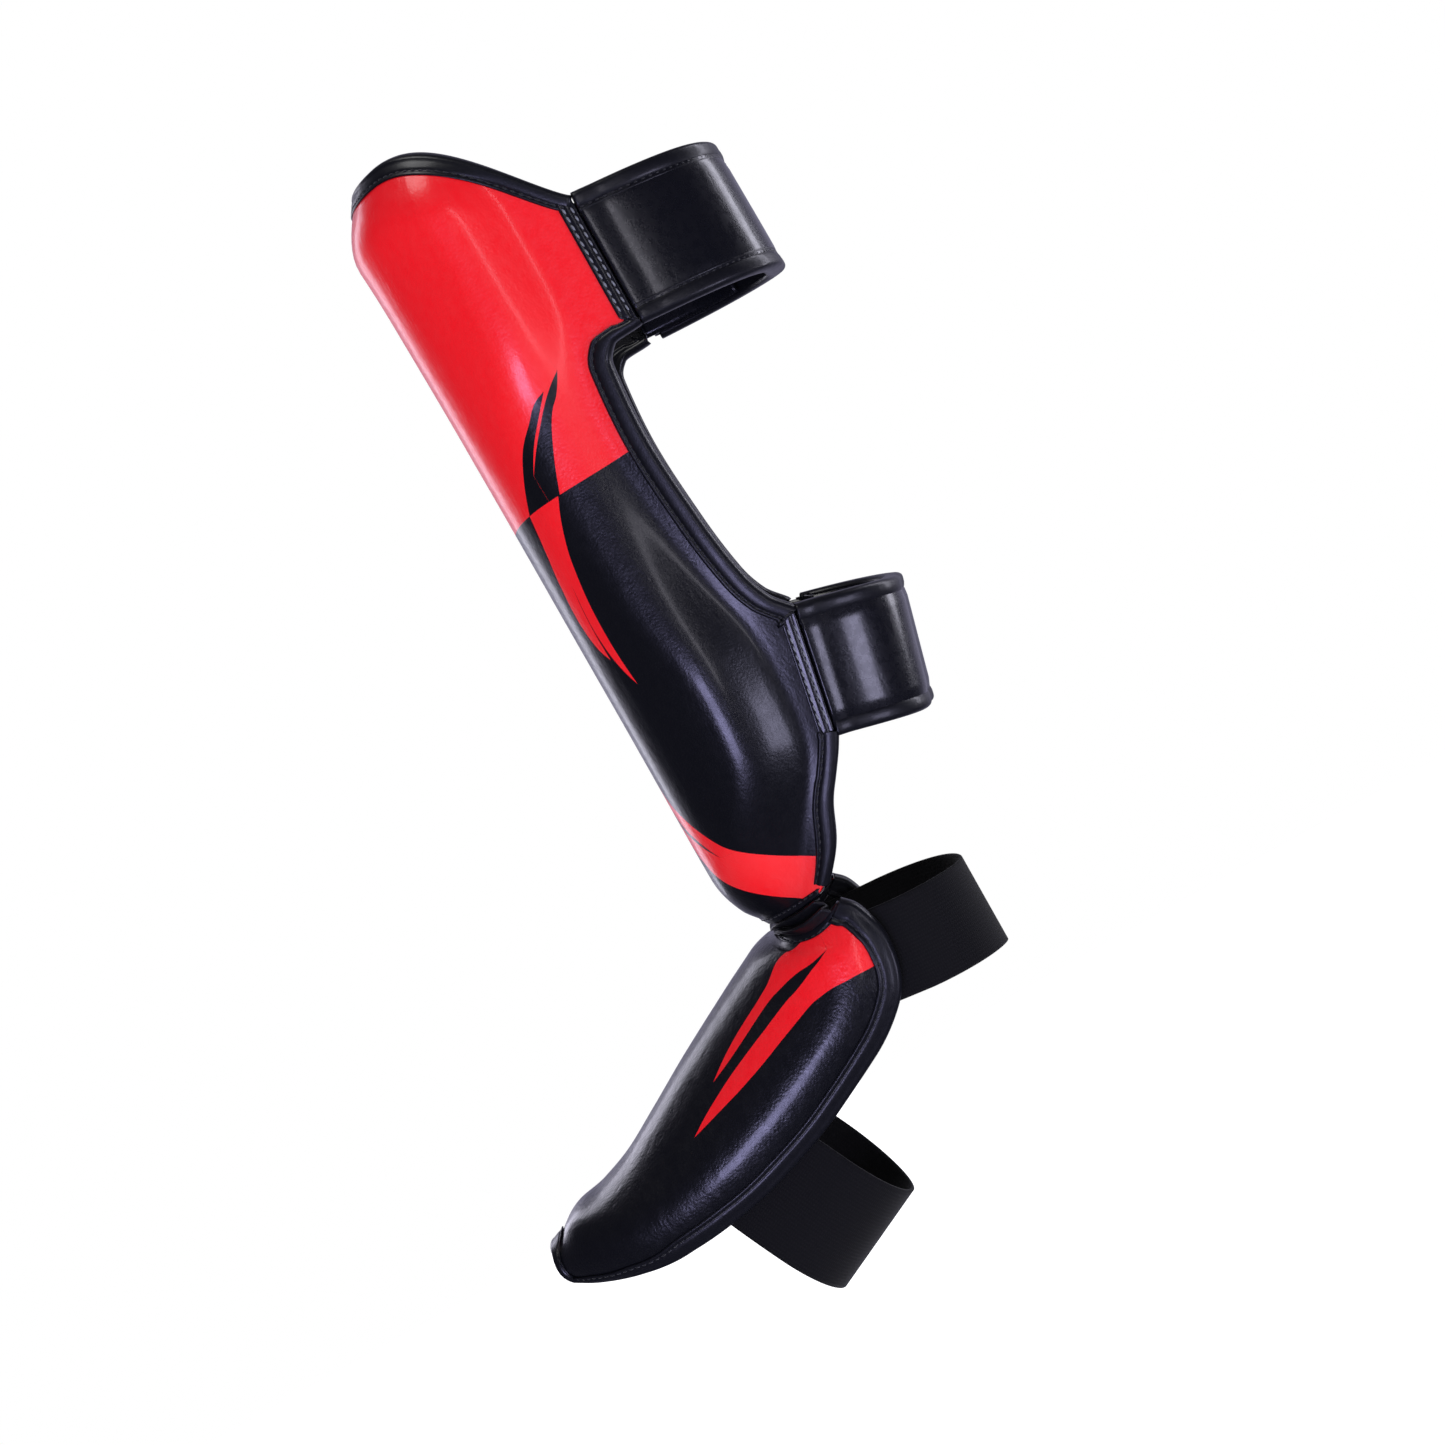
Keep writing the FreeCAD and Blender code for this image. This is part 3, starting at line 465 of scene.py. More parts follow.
def stitch_row(points, normals, pitch=PITCH, length=STITCH, thread=THREAD, skew=0.0):
    """Places along a line at an even pitch, each with a bent capsule of thread on it: rings round a
    short line, whose radius is a circle's and whose middle rises in a parabola."""
    run = np.insert(np.cumsum(np.linalg.norm(np.diff(points, axis=0), axis=-1)), 0, 0)
    at = np.arange(pitch / 2, run[-1], pitch)
    pick = lambda values, where: np.stack([np.interp(where, run, axis) for axis in values.T], -1)
    p, n = pick(points, at), pick(normals, at)
    along = pick(points, at + 0.5) - pick(points, at - 0.5)
    along /= np.linalg.norm(along, axis=-1, keepdims=True)
    side = np.cross(n, along)
    along = along * math.cos(skew) + side * math.sin(skew)
    side = np.cross(n, along)
    width = thread / 2 * np.sqrt(np.clip(1 - LINE ** 2 * 0.96, 0, 1))[:, None]
    x = (LINE * length / 2)[:, None] + 0 * AROUND
    y = width * np.cos(AROUND) * 1.2
    z = width * np.sin(AROUND) + thread * 0.55 * (1 - LINE[:, None] ** 2) - thread * 0.1
    spread = lambda axis, amount: axis[:, None, None, :] * amount[None, :, :, None]
    return p[:, None, None, :] + spread(along, x) + spread(side, y) + spread(n, z)


def stitching(name, rows, body):
    """One mesh from several rows of stitches, closed at both ends of each stitch."""
    stitches = np.concatenate(rows)
    rings, around = stitches.shape[1:3]
    ring = np.arange(rings * around).reshape(rings, around)
    turn = np.roll(ring, -1, axis=1)
    cell = np.stack([ring[:-1], turn[:-1], turn[1:], ring[1:]], -1).reshape(-1, 4)
    ends = [ring[0, [3, 2, 1, 0]], ring[0, [5, 4, 3, 0]], ring[-1, :4], ring[-1, [0, 3, 4, 5]]]
    cell = np.concatenate([cell, ends])
    first = np.arange(len(stitches)) * rings * around
    quads = (cell[None] + first[:, None, None]).reshape(-1, 4)
    piece = put_mesh(name, stitches, quads)
    if body:
        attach(piece, body)
    return piece


# %% Shin bindings
def tape_stitches(form, height, u, v, low=-1.0, base=None, size=1.0):
    """Row of stitches in the tape's groove."""
    base = base or (lambda u, v: 0 * u * v)
    p, n, away, du, dv = edge_frame(form, u, v, low)
    a, b = u + du * STITCH_AT * size, v + dv * STITCH_AT * size
    line = off(form, a, b, base(a, b) + height(a, b) + size * tape_lift(STITCH_AT), low)
    return stitch_row(line, outward(form, a, b, low), thread=0.6, length=2.4, pitch=3.4)


def joined_tapes(name, grids, thickness=TAPE):
    """Several tapes in one mesh, given their thickness by Solidify."""
    points, quads, first = [], [], 0
    for grid in grids:
        cells = quads_of(*grid.shape[:2], first)
        points.append(grid.reshape(-1, 3))
        middle = np.broadcast_to(grid.mean(1, keepdims=True), grid.shape)
        quads.append(cells[:, ::-1] if faces_in(grid, middle) else cells)
        first += grid.shape[0] * grid.shape[1]
    piece = put_mesh(name, np.concatenate(points), np.concatenate(quads))
    solidify = piece.modifiers.new("thickness", "SOLIDIFY")
    solidify.thickness = thickness * MM
    solidify.offset = -1.0
    return piece


def bound(name, form, height, paths, body, replaced):
    """Tape and stitches along several edges of one panel. A path is u, v and the tape's size."""
    tape = joined_tapes(name, [tape_grid(form, height, u, v, size=size) for u, v, size in paths])
    rows = [tape_stitches(form, height, u, v, size=size) for u, v, size in paths]
    stitching(name + "_stitches", rows, body)
    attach(tape, body)
    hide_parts(replaced)


ones = np.ones
across = np.linspace(-1, 1, 181)
TOP_TAPE, FOLD_TAPE = 0.75, 0.45  # narrower tapes, as shares of the full size
upward = lambda low, high, count: edge_share(
    low + (high - low) * (1 - np.cos(np.pi * np.linspace(0, 1, count))) / 2)
calf, ankle = upward(LOWER_TOP, UPPER_BASE, 121), upward(FOLD_TOP + 3, LOWER_BASE, 61)
bound("shin_top_tape", shin, shin_thickness, [(across, ones(181), TOP_TAPE)],
      "shin", "shin_top_binding")
bound("shin_calf_tape", shin, shin_thickness, [(-ones(121), calf, 1.0), (ones(121), calf, 1.0)],
      "shin", "shin_calf_bindings")
bound("shin_lower_tape", shin, shin_thickness,
      [(-ones(61), ankle, 1.0), (ones(61), ankle, 1.0), (across * 0.99, 0 * across, FOLD_TAPE)],
      "shin", "shin_lower_binding")

# %% [markdown]
# ## Calf straps
# A strap is a long thin pillow: leather over a strip of foam, bound along both edges. It is sewn to
# the outer wing and runs round the back of the calf to the inner side, where it climbs over the
# inner wing's tab and fastens to it. It crosses one hinge at the middle of the calf, and it is
# built as one piece.

# %% Strap form
STRAP, TAB, GAP, LOOP_TAPE, HOOK_TAPE = 5.6, 2.2, 0.3, 1.3, 1.2
FASTENING = TAB + GAP + LOOP_TAPE + GAP + HOOK_TAPE + GAP
STRAP_OFF_LEG, CLIMB, SEAM_CLEARANCE, END_SHORT, TAB_LENGTH = 1.0, 0.28, 0.8, 6.0, 52.0
SEAM_LIFT = 1.3  # the strap starts a little proud of the wing
# Lower and upper edge at the seam, drop behind the calf, and y of the seam at its two ends.
STRAPS = {"upper": (UPPER_BASE, UPPER_TOP, 4.0, UPPER_SEAM),
          "lower": (LOWER_BASE, LOWER_TOP, 11.5, LOWER_SEAM)}


def strap_forms(name):
    """The strap's and the tab's inner faces. Along both, u runs from the seam to the free end."""
    base, top, drop, seam = STRAPS[name]
    shares = np.linspace(0, 1, 201)
    seams = {behind: leg_angle(seam[0] + shares * (seam[1] - seam[0]) + behind,
                               base + shares * (top - base))
             for behind in (0.0, SEAM_CLEARANCE, GAP)}

    def seam_angle(t, behind=0.0):
        """The leg's angle at the seam, or a clearance behind it, read from a table."""
        return np.interp(t, shares, seams[behind])

    def point(angle, t):
        """On the leg at an angle, lower towards the back of the calf."""
        start = np.cos(seam_angle(t))
        back = np.maximum(0, (start - np.cos(angle)) / (start + 1))
        return leg_point(angle, base + t * (top - base) - drop * back)

    def further(angle, t, length):
        """The angle a length further round, at the leg's speed there in millimetres a radian."""
        speed = np.linalg.norm(point(angle + 0.01, t) - point(angle, t), axis=-1) / 0.01
        return angle + length / speed

    def strap(u, t):
        """From a clearance behind the outer seam to short of the inner one, evenly in angle."""
        start = seam_angle(t, SEAM_CLEARANCE)
        stop = 2 * np.pi - further(seam_angle(t), t, END_SHORT)
        return point(start + u * (stop - start), t)

    def tab(u, t):
        """From the inner seam back round the calf, evenly in angle."""
        start = seam_angle(t, GAP)
        return point(2 * np.pi - start - u * (further(start, t, TAB_LENGTH) - start), t)

    def stands_off(u, t):
        """How far the strap stands off the leg: level with the wing at the seam, and over the tab
        and the fastening at its end."""
        start = seam_angle(t, SEAM_CLEARANCE)
        stop = 2 * np.pi - further(seam_angle(t), t, END_SHORT)
        loose = (start + u * (stop - start) - np.pi) / (stop - np.pi)
        return (STRAP_OFF_LEG + (FASTENING - STRAP_OFF_LEG) * smooth_step(loose / CLIMB)
                + SEAM_LIFT * (1 - smooth_step(u / 0.05)))

    return strap, tab, stands_off


# %% Seam margins
# Across the margin from the wing to the strap: distance in from the seam, and height over the wing.
MARGIN_SECTION = [(6.6, 0.0), (6.5, 0.7), (6.0, 0.95), (5.2, 0.7), (4.6, 0.55), (3.8, 0.95),
                  (3.0, 1.0), (2.2, 0.6), (1.6, 0.5), (0.9, 0.8), (0.0, 0.9), (-0.9, 0.6),
                  (-1.2, -0.4)]
MARGIN_STITCHES = ((4.8, 0.6), (1.7, 0.55))
MARGIN_LEATHER = 0.5


def seam_margin(name):
    """Leather margin on both wings, with a groove between its two rows of stitches."""
    base, top = STRAPS[name][:2]
    z = np.linspace(base, top, 61)
    v = edge_share(z)
    grids, rows = [], []
    for side in (-1.0, 1.0):
        _, n, _, du, _ = edge_frame(shin, side * ones(61), v)
        place = lambda reach, lift: off(shin, side + du * reach, v, WING + lift)
        grids.append(np.stack([place(reach, lift) for reach, lift in MARGIN_SECTION], 1))
        keep = slice(4, -4)
        for reach, lift in MARGIN_STITCHES:
            rows.append(stitch_row(place(reach, lift)[keep], n[keep], thread=0.7, skew=0.14))
    piece = joined_tapes(name + "_seam_margin", grids, MARGIN_LEATHER)
    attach(piece, "shin")
    stitches = stitching(name + "_seam_stitches", rows, "shin")
    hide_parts(name + "_seam_stitching")


# %% Build a strap
STRAP_DENTS, TAPES_INSET = 0.25, 8.0  # fastening tapes stay inside the strap's edges
HOOK_FROM, HOOK_RUN, LOOP_FROM, LOOP_RUN = 0.69, 0.24, 0.08, 0.86


def build_strap(name, swell):
    """Pad, lining, tape, fastening and seam of one strap. The pad swells by a blunt sine wave
    between its two edges."""
    strap, tab, stands_off = strap_forms(name)
    TURNED_FORMS.append(tab)
    body, loose = name + "_strap", name + "_strap_end"
    base, top = STRAPS[name][:2]
    t, u = np.linspace(0, 1, 41)[:, None], np.linspace(0, 1, 201)[None, :]
    lift = stands_off(u, t)
    length = lengths_along(strap(u, t), 1)
    pillow = swell * np.clip(np.sin(np.pi * t) * 2.2, 0, 1) ** 0.7 * (t > 0) * (t < 1)
    dents = unevenness(length, 40 * t, STRAP_DENTS, seed=len(name) + base) * np.sin(np.pi * t)
    outer = off(strap, u, t, lift + STRAP + pillow + dents, 0.0)
    inner = off(strap, u, t, lift + LINING + GAP, 0.0)
    pad = pad_mesh(body + "_pad", outer, inner, cloth_map(outer))
    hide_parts(*(each + part for each in (body, loose) for part in ("_cover", "_core")))
    points = off(strap, u[:, ::2], t[::2], stands_off(u[:, ::2], t[::2]) + LINING, 0.0)
    lining = sheet_mesh(body + "_lining_cloth", points, LINING, cloth_map(points))
    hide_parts(body + "_lining", loose + "_lining")
    declare_sheet(lining, points)
    thickness = lambda u, v: STRAP + 0 * u * v
    run, short = np.linspace(0, 1, 201), np.linspace(0, 1, 31)
    paths = [(run, 0 * run), (run, ones(201)), (ones(31), short)]
    tape = joined_tapes(body + "_tape", [tape_grid(strap, thickness, a, b, 0.0, stands_off)
                                         for a, b in paths])
    thread = stitching(body + "_tape_stitches",
                       [tape_stitches(strap, thickness, a, b, 0.0, stands_off)
                        for a, b in paths], None)
    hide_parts(body + "_binding", loose + "_binding")
    print(body, "is", round(float(length.max())), "mm long")
    for piece in (pad, lining, tape, thread):
        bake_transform(piece)
    inset = TAPES_INSET / (top - base)
    rows = np.linspace(inset, 1 - inset, 9)[:, None]
    along = np.linspace(0, 1, 41)[None, :]
    hook_u = HOOK_FROM + along * HOOK_RUN
    points = off(strap, hook_u, rows, stands_off(hook_u, rows) - GAP, 0.0)
    made = [("_hook_tape", points, HOOK_TAPE, loose, body + "_hook", "hook_tape", pad.name, False)]
    tab_rows = np.linspace(0, 1, 21)[:, None]
    points = off(tab, along, tab_rows, TAB + 0 * along * tab_rows, 0.0)
    made.append(("_tab_leather", points, TAB, "shin", name + "_tab", "black_leather",
                 "shin_pad", True))
    loop_u = LOOP_FROM + along * LOOP_RUN
    points = off(tab, loop_u, rows, TAB + GAP + LOOP_TAPE + 0 * loop_u * rows, 0.0)
    made.append(("_loop_tape", points, LOOP_TAPE, "shin", name + "_tab_loop", "loop_tape",
                 name + "_tab_leather", True))
    for suffix, points, thickness, rides, node, slot, rests, turned in made:
        piece = sheet_mesh(name + suffix, points, thickness, cloth_map(points), turned=turned)
        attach(piece, rides)
        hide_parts(node)
        declare_sheet(piece, points)
    seam_margin(name)


build_strap("upper", 1.3)
build_strap("lower", 1.6)

# %% [markdown]
# ## The instep panel
# A tongue-shaped pad over the top of the foot, rounded at the toes. Its rows are arcs that go down
# the sides of the foot; each row's middle and edge are given along a sloping line from the ankle.

# %% Instep form
INSTEP_SLOPE, FOLD_FRONT = math.radians(26.0), (-39.0, -10.5)
# Along and under that line at the middle, the same at the edge, and half width, in millimetres.
INSTEP_ROWS = np.array([
    (0.0, 0.0, -24.5, 0.5, 35.5), (4.0, 0.5, -26.3, 7.5, 36.5), (9.0, 1.0, -25.0, 17.0, 37.5),
    (17.0, 1.0, -19.5, 28.5, 38.5), (30.0, 1.0, -6.0, 40.5, 39.5), (48.0, 1.5, 18.0, 45.5, 40.5),
    (70.0, 2.5, 48.0, 46.0, 41.0), (95.0, 4.5, 78.0, 43.5, 41.0), (118.0, 6.0, 104.0, 38.0, 39.5),
    (137.0, 4.5, 125.5, 30.5, 36.5), (152.0, 0.5, 144.0, 20.5, 29.0),
    (163.0, -3.0, 158.0, 9.5, 20.0), (170.5, -6.5, 167.5, 0.0, 11.0)])
INSTEP_TABLE = np.c_[np.linspace(0, 1, len(INSTEP_ROWS)), INSTEP_ROWS]
INSTEP_PAD, INSTEP_EDGE, INSTEP_ROUND, HALF_SPREAD = 15.0, 6.0, 24.0, math.radians(84)
FOLD_FULLER, INSTEP_DENTS = 5.0, 0.5  # the pad stays fuller at the ankle fold


def instep_frame(along, under, x=0.0):
    """Point along the sloping middle line and under it."""
    s, c = math.sin(INSTEP_SLOPE), math.cos(INSTEP_SLOPE)
    return np.stack(np.broadcast_arrays(x, FOLD_FRONT[0] - along * c + under * s,
                                        FOLD_FRONT[1] - along * s - under * c), -1)


def instep(u, v):
    """Inner face of the instep panel. v runs from the ankle fold to the toes."""
    along, under, edge_along, edge_under, half = (curve_through(INSTEP_TABLE, v, column)
                                                  for column in range(1, 6))
    across, forward = boxy(u * HALF_SPREAD)
    down = (1 - forward) / (1 - boxy(HALF_SPREAD)[1])
    return instep_frame(along + (edge_along - along) * down, under + (edge_under - under) * down,
                        half * across)


TURNED_FORMS.append(instep)


def instep_thickness(u, v):
    """Thins like a pillow towards every edge: the product of three rises, from its sides, its fold
    and its toe edge."""
    p = instep(u, v)
    far = lambda other: np.linalg.norm(other - p, axis=-1)
    full = (rounded_rise(far(instep(np.where(u < 0, -1.0, 1.0), v)), INSTEP_ROUND)
            * rounded_rise(far(instep(u, 0 * v)) + FOLD_FULLER, INSTEP_ROUND)
            * rounded_rise(far(instep(u, 1 + 0 * v)), INSTEP_ROUND))
    return INSTEP_EDGE + (INSTEP_PAD - INSTEP_EDGE) * full


# %% Build the instep panel
u, v = np.linspace(-1, 1, 141)[None, :], np.linspace(0, 1, 181)[:, None]
lumps = unevenness(u * 70, v * 170, INSTEP_DENTS, seed=1.7) * np.clip((1 - np.abs(u)) * 4, 0, 1)
outer = off(instep, u, v, instep_thickness(u, v) + lumps)
inner = off(instep, u, v, LINING + LINING_GAP)
instep_map = np.stack(np.broadcast_arrays(np.abs(u), v), -1)
instep_pad = pad_mesh("instep_pad", outer, inner, instep_map)
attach(instep_pad, "instep")
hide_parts("instep_cover", "instep_foam")
points = off(instep, u[:, ::2], v[::2], LINING)
instep_lining = sheet_mesh("instep_lining_cloth", points, LINING, cloth_map(points), turned=True)
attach(instep_lining, "instep")
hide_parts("instep_lining")
declare_sheet(instep_lining, points)


# %% Binding round the instep
# One path goes down one side, across the toes and up the other side.
side_v, toe = np.linspace(0, 1, 141), np.linspace(0, 1, 31)
rim_u = np.concatenate([ones(141), 1 - toe[1:] * 2, -ones(140)])
rim_v = np.concatenate([side_v, ones(30), side_v[-2::-1]])
fold_u = np.linspace(-1, 1, 101)
bound("instep_tape", instep, instep_thickness,
      [(rim_u, rim_v, 1.0), (fold_u, 0 * fold_u, FOLD_TAPE)], "instep", "instep_binding")

# %% [markdown]
# ## Elastics
# Two bands of woven elastic hold the instep panel: one behind the ankle and one under the arch.
# Each is an arc with straight runs at its ends, which go up inside the panel and are sewn there.

# %% Elastic bands
ELASTIC, ELASTIC_SEWN = 1.6, 15.0
ANKLE_WIDTH, ANKLE_DROP, ANKLE_HALF, ANKLE_BACK, ANKLE_TUCK = 40.0, 6.5, 35.5, 35.0, 4.0
FOOT_WIDTH, FOOT_AT, SOLE_UNDER, FOOT_HALF = 50.0, 86.0, 98.5, 37.8
FOOT_BEND, FOOT_SEWN_UNDER, FOOT_TUCK = 34.0, 44.0, 4.6


def arc_and_ends(t, straight):
    """Half a band is a quarter turn, then a straight run: the place on the run, and the angle."""
    run = np.abs(t)
    return (np.clip((run - (1 - straight)) / straight, 0, 1),
            np.clip(run / (1 - straight), 0, 1) * np.pi / 2)


def ankle_elastic(t, share):
    """An ellipse behind the ankle, lower at the back, with straight ends that go forward. t runs
    round the band from -1 to 1, and share from -0.5 to 0.5 across it."""
    level, angle = arc_and_ends(t, 0.30)
    front_y, top = instep(1.0, 0.17)[1] - ELASTIC_SEWN, instep(1.0, 0.10)[2]
    x = np.sign(t) * ((ANKLE_HALF + ELASTIC) * np.sin(angle) - ANKLE_TUCK * level)
    y = np.where(level > 0, level * front_y, (ANKLE_BACK + ELASTIC) * np.cos(angle))
    z = top - ANKLE_WIDTH / 2 - ANKLE_DROP * (1 - np.abs(t)) ** 0.9 + ANKLE_WIDTH * share
    return np.stack(np.broadcast_arrays(x, y, z), -1)


def foot_elastic(t, share):
    """An ellipse under the sole, with straight ends that go up into the instep panel."""
    level, angle = arc_and_ends(t, 0.36)
    low = SOLE_UNDER - FOOT_BEND
    under = np.where(level > 0, low + level * (FOOT_SEWN_UNDER - ELASTIC_SEWN - low),
                     low + (FOOT_BEND + ELASTIC) * np.cos(angle))
    x = np.sign(t) * ((FOOT_HALF + ELASTIC) * np.sin(angle) - FOOT_TUCK * level ** 2)
    return instep_frame(FOOT_AT + FOOT_WIDTH * share, under, x)


t, share = np.linspace(-1, 1, 181)[None, :], np.linspace(-0.5, 0.5, 25)[:, None]
for name, make, turned in (("ankle_elastic", ankle_elastic, True),
                           ("foot_elastic", foot_elastic, False)):
    points = make(t, share)
    band = sheet_mesh(name + "_band", points, ELASTIC, cloth_map(points), turned=turned)
    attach(band, "instep")
    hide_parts(name)
    declare_sheet(band, points)

# %% [markdown]
# ## The ankle gusset
# A strip of soft leather joins the two panels. It is pleated, so that the instep can swing, and it
# has to reach from one moving body to the other. Its pleats are a cosine wave that stands out
# between the two edges.

# %% Gusset
PLEATS, PLEAT_DEPTH, GUSSET_PLY, GUSSET_REACH = 2, 4.4, 1.1, 0.94
UP_THE_PAD, BELOW_THE_TAPE, OVER_THE_INSTEP = 0.76, 1.55, 3.1
ends = np.linspace(-GUSSET_REACH, GUSSET_REACH, 121)
_, n, away, _, _ = edge_frame(shin, ends, 0 * ends)
high = (off(shin, ends, 0 * ends, shin_thickness(ends, 0 * ends) * UP_THE_PAD)
        + away * BELOW_THE_TAPE)
low = off(instep, ends, 0 * ends, INSTEP_EDGE + OVER_THE_INSTEP + 0 * ends)
up = high - low
n = n - up * ((n * up).sum(-1) / (up * up).sum(-1))[:, None]
n /= np.linalg.norm(n, axis=-1, keepdims=True)
share = np.linspace(0.02, 0.98, 41)[:, None, None]
fold = PLEAT_DEPTH * (0.5 - 0.5 * np.cos(2 * np.pi * PLEATS * share)) ** 0.8
points = low[None] + up[None] * share + n[None] * fold
gusset = sheet_mesh("ankle_gusset_pleats", points, GUSSET_PLY, cloth_map(points))
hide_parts("ankle_gusset")
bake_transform(gusset)
declare_sheet(gusset, points)

# %% [markdown]
# ## Finishes
# A finish starts from what the material is. The next cell has the two helpers that every finish
# uses: one turns a hex colour into linear light, the other adds a node with its settings and links.

# %% Colour and node helpers
def linear(hex_colour):
    """sRGB hex to linear red, green, blue and alpha."""
    s = np.array([int(hex_colour[k:k + 2], 16) / 255 for k in (1, 3, 5)])
    rgb = np.where(s <= 0.04045, s / 12.92, ((s + 0.055) / 1.055) ** 2.4)
    return (*map(float, rgb), 1.0)


def add(tree, kind, inputs=(), **settings):
    """One node: settings are its properties, and inputs its sockets, each a value or a socket."""
    made = tree.nodes.new("ShaderNode" + kind)
    for key, value in settings.items():
        setattr(made, key, value)
    for key, value in dict(inputs).items():
        if isinstance(value, bpy.types.NodeSocket):
            tree.links.new(value, made.inputs[key])
        else:
            made.inputs[key].default_value = value
    return made


def finish(name, **shader):
    """A material with its shader set and its tree ready for detail."""
    material = bpy.data.materials.new(name)
    material.use_nodes = True
    tree = material.node_tree
    tree.nodes.clear()
    surface = add(tree, "BsdfPrincipled", shader.items())
    add(tree, "OutputMaterial", {"Surface": surface.outputs[0]})
    place = add(tree, "TexCoord").outputs
    return material, tree, surface, place


# %% [markdown]
# ## Synthetic leather
# The covers are polyurethane leather: a smooth plastic skin, embossed with a fine grain, over a
# knitted backing. It is half glossy, and it pulls into faint creases where the foam bends. The
# grain is cells about a millimetre wide; creases are noise stretched along the leg.

# %% Leather finishes
def grain(tree, place, cell, depth, crease):
    """Bump of leather: cells of one size in millimetres, and soft creases over them."""
    cells = add(tree, "TexVoronoi", {"Vector": place["Object"], "Scale": 1000 / cell,
                                     "Randomness": 1.0}, feature="SMOOTH_F1")
    fine = add(tree, "TexNoise", {"Vector": place["Object"], "Scale": 1000 / (cell * 4),
                                  "Detail": 5.0, "Roughness": 0.6})
    long = add(tree, "Mapping", {"Vector": place["Object"], "Scale": (90.0, 90.0, 28.0)})
    folds = add(tree, "TexNoise", {"Vector": long.outputs[0], "Scale": 1.0, "Detail": 4.0,
                                   "Distortion": 0.6})
    soft = add(tree, "Bump", {"Height": folds.outputs["Fac"], "Strength": 0.5,
                              "Distance": crease * MM})
    mid = add(tree, "Bump", {"Height": fine.outputs["Fac"], "Strength": 0.6,
                             "Distance": depth * 1.6 * MM, "Normal": soft.outputs[0]})
    return add(tree, "Bump", {"Height": cells.outputs["Distance"], "Strength": 0.7,
                              "Distance": depth * MM, "Normal": mid.outputs[0]}), fine


RED, BLACK = "#ee0416", "#08090f"


def leather(name, colour, rough, cell=1.0, depth=0.10, crease=0.8, coat=0.35):
    """Embossed polyurethane: a grain, creases, and a gloss that varies a little."""
    material, tree, surface, place = finish(
        name, **{"Base Color": linear(colour), "IOR": 1.5, "Coat Weight": coat,
                 "Coat Roughness": 0.14, "Coat IOR": 1.5})
    bump, fine = grain(tree, place, cell, depth, crease)
    gloss = add(tree, "MapRange", {"Value": fine.outputs["Fac"], "From Min": 0.3, "From Max": 0.7,
                                   "To Min": rough - 0.05, "To Max": rough + 0.07})
    tree.links.new(gloss.outputs[0], surface.inputs["Roughness"])
    tree.links.new(bump.outputs[0], surface.inputs["Normal"])
    return material, tree, surface, place


def edge_curve(tree, value, points, across, along, shift=0.0):
    """One edge of a printed shape, as a curve of the place along the pattern."""
    node = add(tree, "FloatCurve", {"Value": value})
    curve = node.mapping.curves[0]
    points = sorted((a / along, b / across + shift) for a, b in points)
    while len(curve.points) < len(points):
        curve.points.new(0.5, 0.5)
    for dot, (x, y) in zip(curve.points, points):
        dot.location = (x, y)
    node.mapping.extend = "HORIZONTAL"
    node.mapping.update()
    return node.outputs[0]


def more_than(tree, a, b):
    """1 where a is more than b."""
    return add(tree, "Math", {0: a, 1: b}, operation="GREATER_THAN").outputs[0]


def combine(tree, a, b, operation="MULTIPLY"):
    """Two shapes made one: their product keeps what they share."""
    return add(tree, "Math", {0: a, 1: b}, operation=operation).outputs[0]


def flash(tree, across, along, edges, width, length):
    """A shape with two tines: between its outer edges, less the gap between its inner ones."""
    shifts = (0.002, 0.0, 0.0, -0.002)  # closes the tines at their tips
    left, gap_left, gap_right, right = (edge_curve(tree, along, points, width, length, shift)
                                        for points, shift in zip(edges, shifts))
    shape = combine(tree, more_than(tree, across, left), more_than(tree, right, across))
    gap = combine(tree, more_than(tree, across, gap_left), more_than(tree, gap_right, across))
    return combine(tree, shape, gap, "SUBTRACT")


# %% [markdown]
# ## The printed pattern
# Red covers the top of the shin panel, and black the rest. Where they meet, two crescents with
# split ends swap the colours, and a third red flash crosses the ankle. The edges of each shape are
# curves on the panel's own flat pattern, so the print follows the leather and both sides match.

# %% Printed shin leather
# Each edge is (height, distance from the middle line) in millimetres.
DARK_FLASH = [
    [(198.4, 47.5), (212.1, 57.6), (222.1, 65.5), (229.3, 73.6), (235, 79.9), (237.5, 86.3)],
    [(210.6, 63.3), (220.5, 70.4), (227.6, 76.8), (237.5, 86.3)],
    [(210.6, 63.3), (224.7, 75.7), (236, 87.1), (242.5, 96.4)],
    [(199.4, 69.7), (217.3, 77.7), (228.7, 84.6), (234.2, 90.2), (242.5, 96.4)]]
RED_FLASH = [
    [(131.9, 45.7), (148, 37.5), (167.3, 39.2), (182.9, 43.7), (198.4, 47.5)],
    [(131.9, 45.7), (149, 45.8), (167.2, 49.1), (190.4, 54.1)],
    [(118, 54), (141, 46.4), (167.2, 49.1), (190.4, 54.1)],
    [(118, 54), (146.6, 52.8), (169.4, 56.5), (186.4, 62.5), (199.4, 68.9)]]
# And these are (distance from the middle line, height).
DIVIDE = [(0, 194.5), (18, 196), (47.5, 198.4), (69.7, 199.4), (92.7, 200.3), (125, 202.5)]
ANKLE_TOP = [(0, 86), (7, 77), (28.5, 58.5), (41.4, 47), (55.6, 34), (64.7, 25), (72.8, 18)]
ANKLE_BASE = [(0, 58), (7, 49.5), (24.5, 33), (37.7, 17), (44.8, 7), (50, -3), (56, -12)]
SLIT_TOP = [(0, 73), (9.3, 63.5), (28.6, 48.8), (39.5, 39.7)]
SLIT_BASE = [(0, 66), (9.3, 58.5), (28.6, 46.6), (39.5, 39.7)]

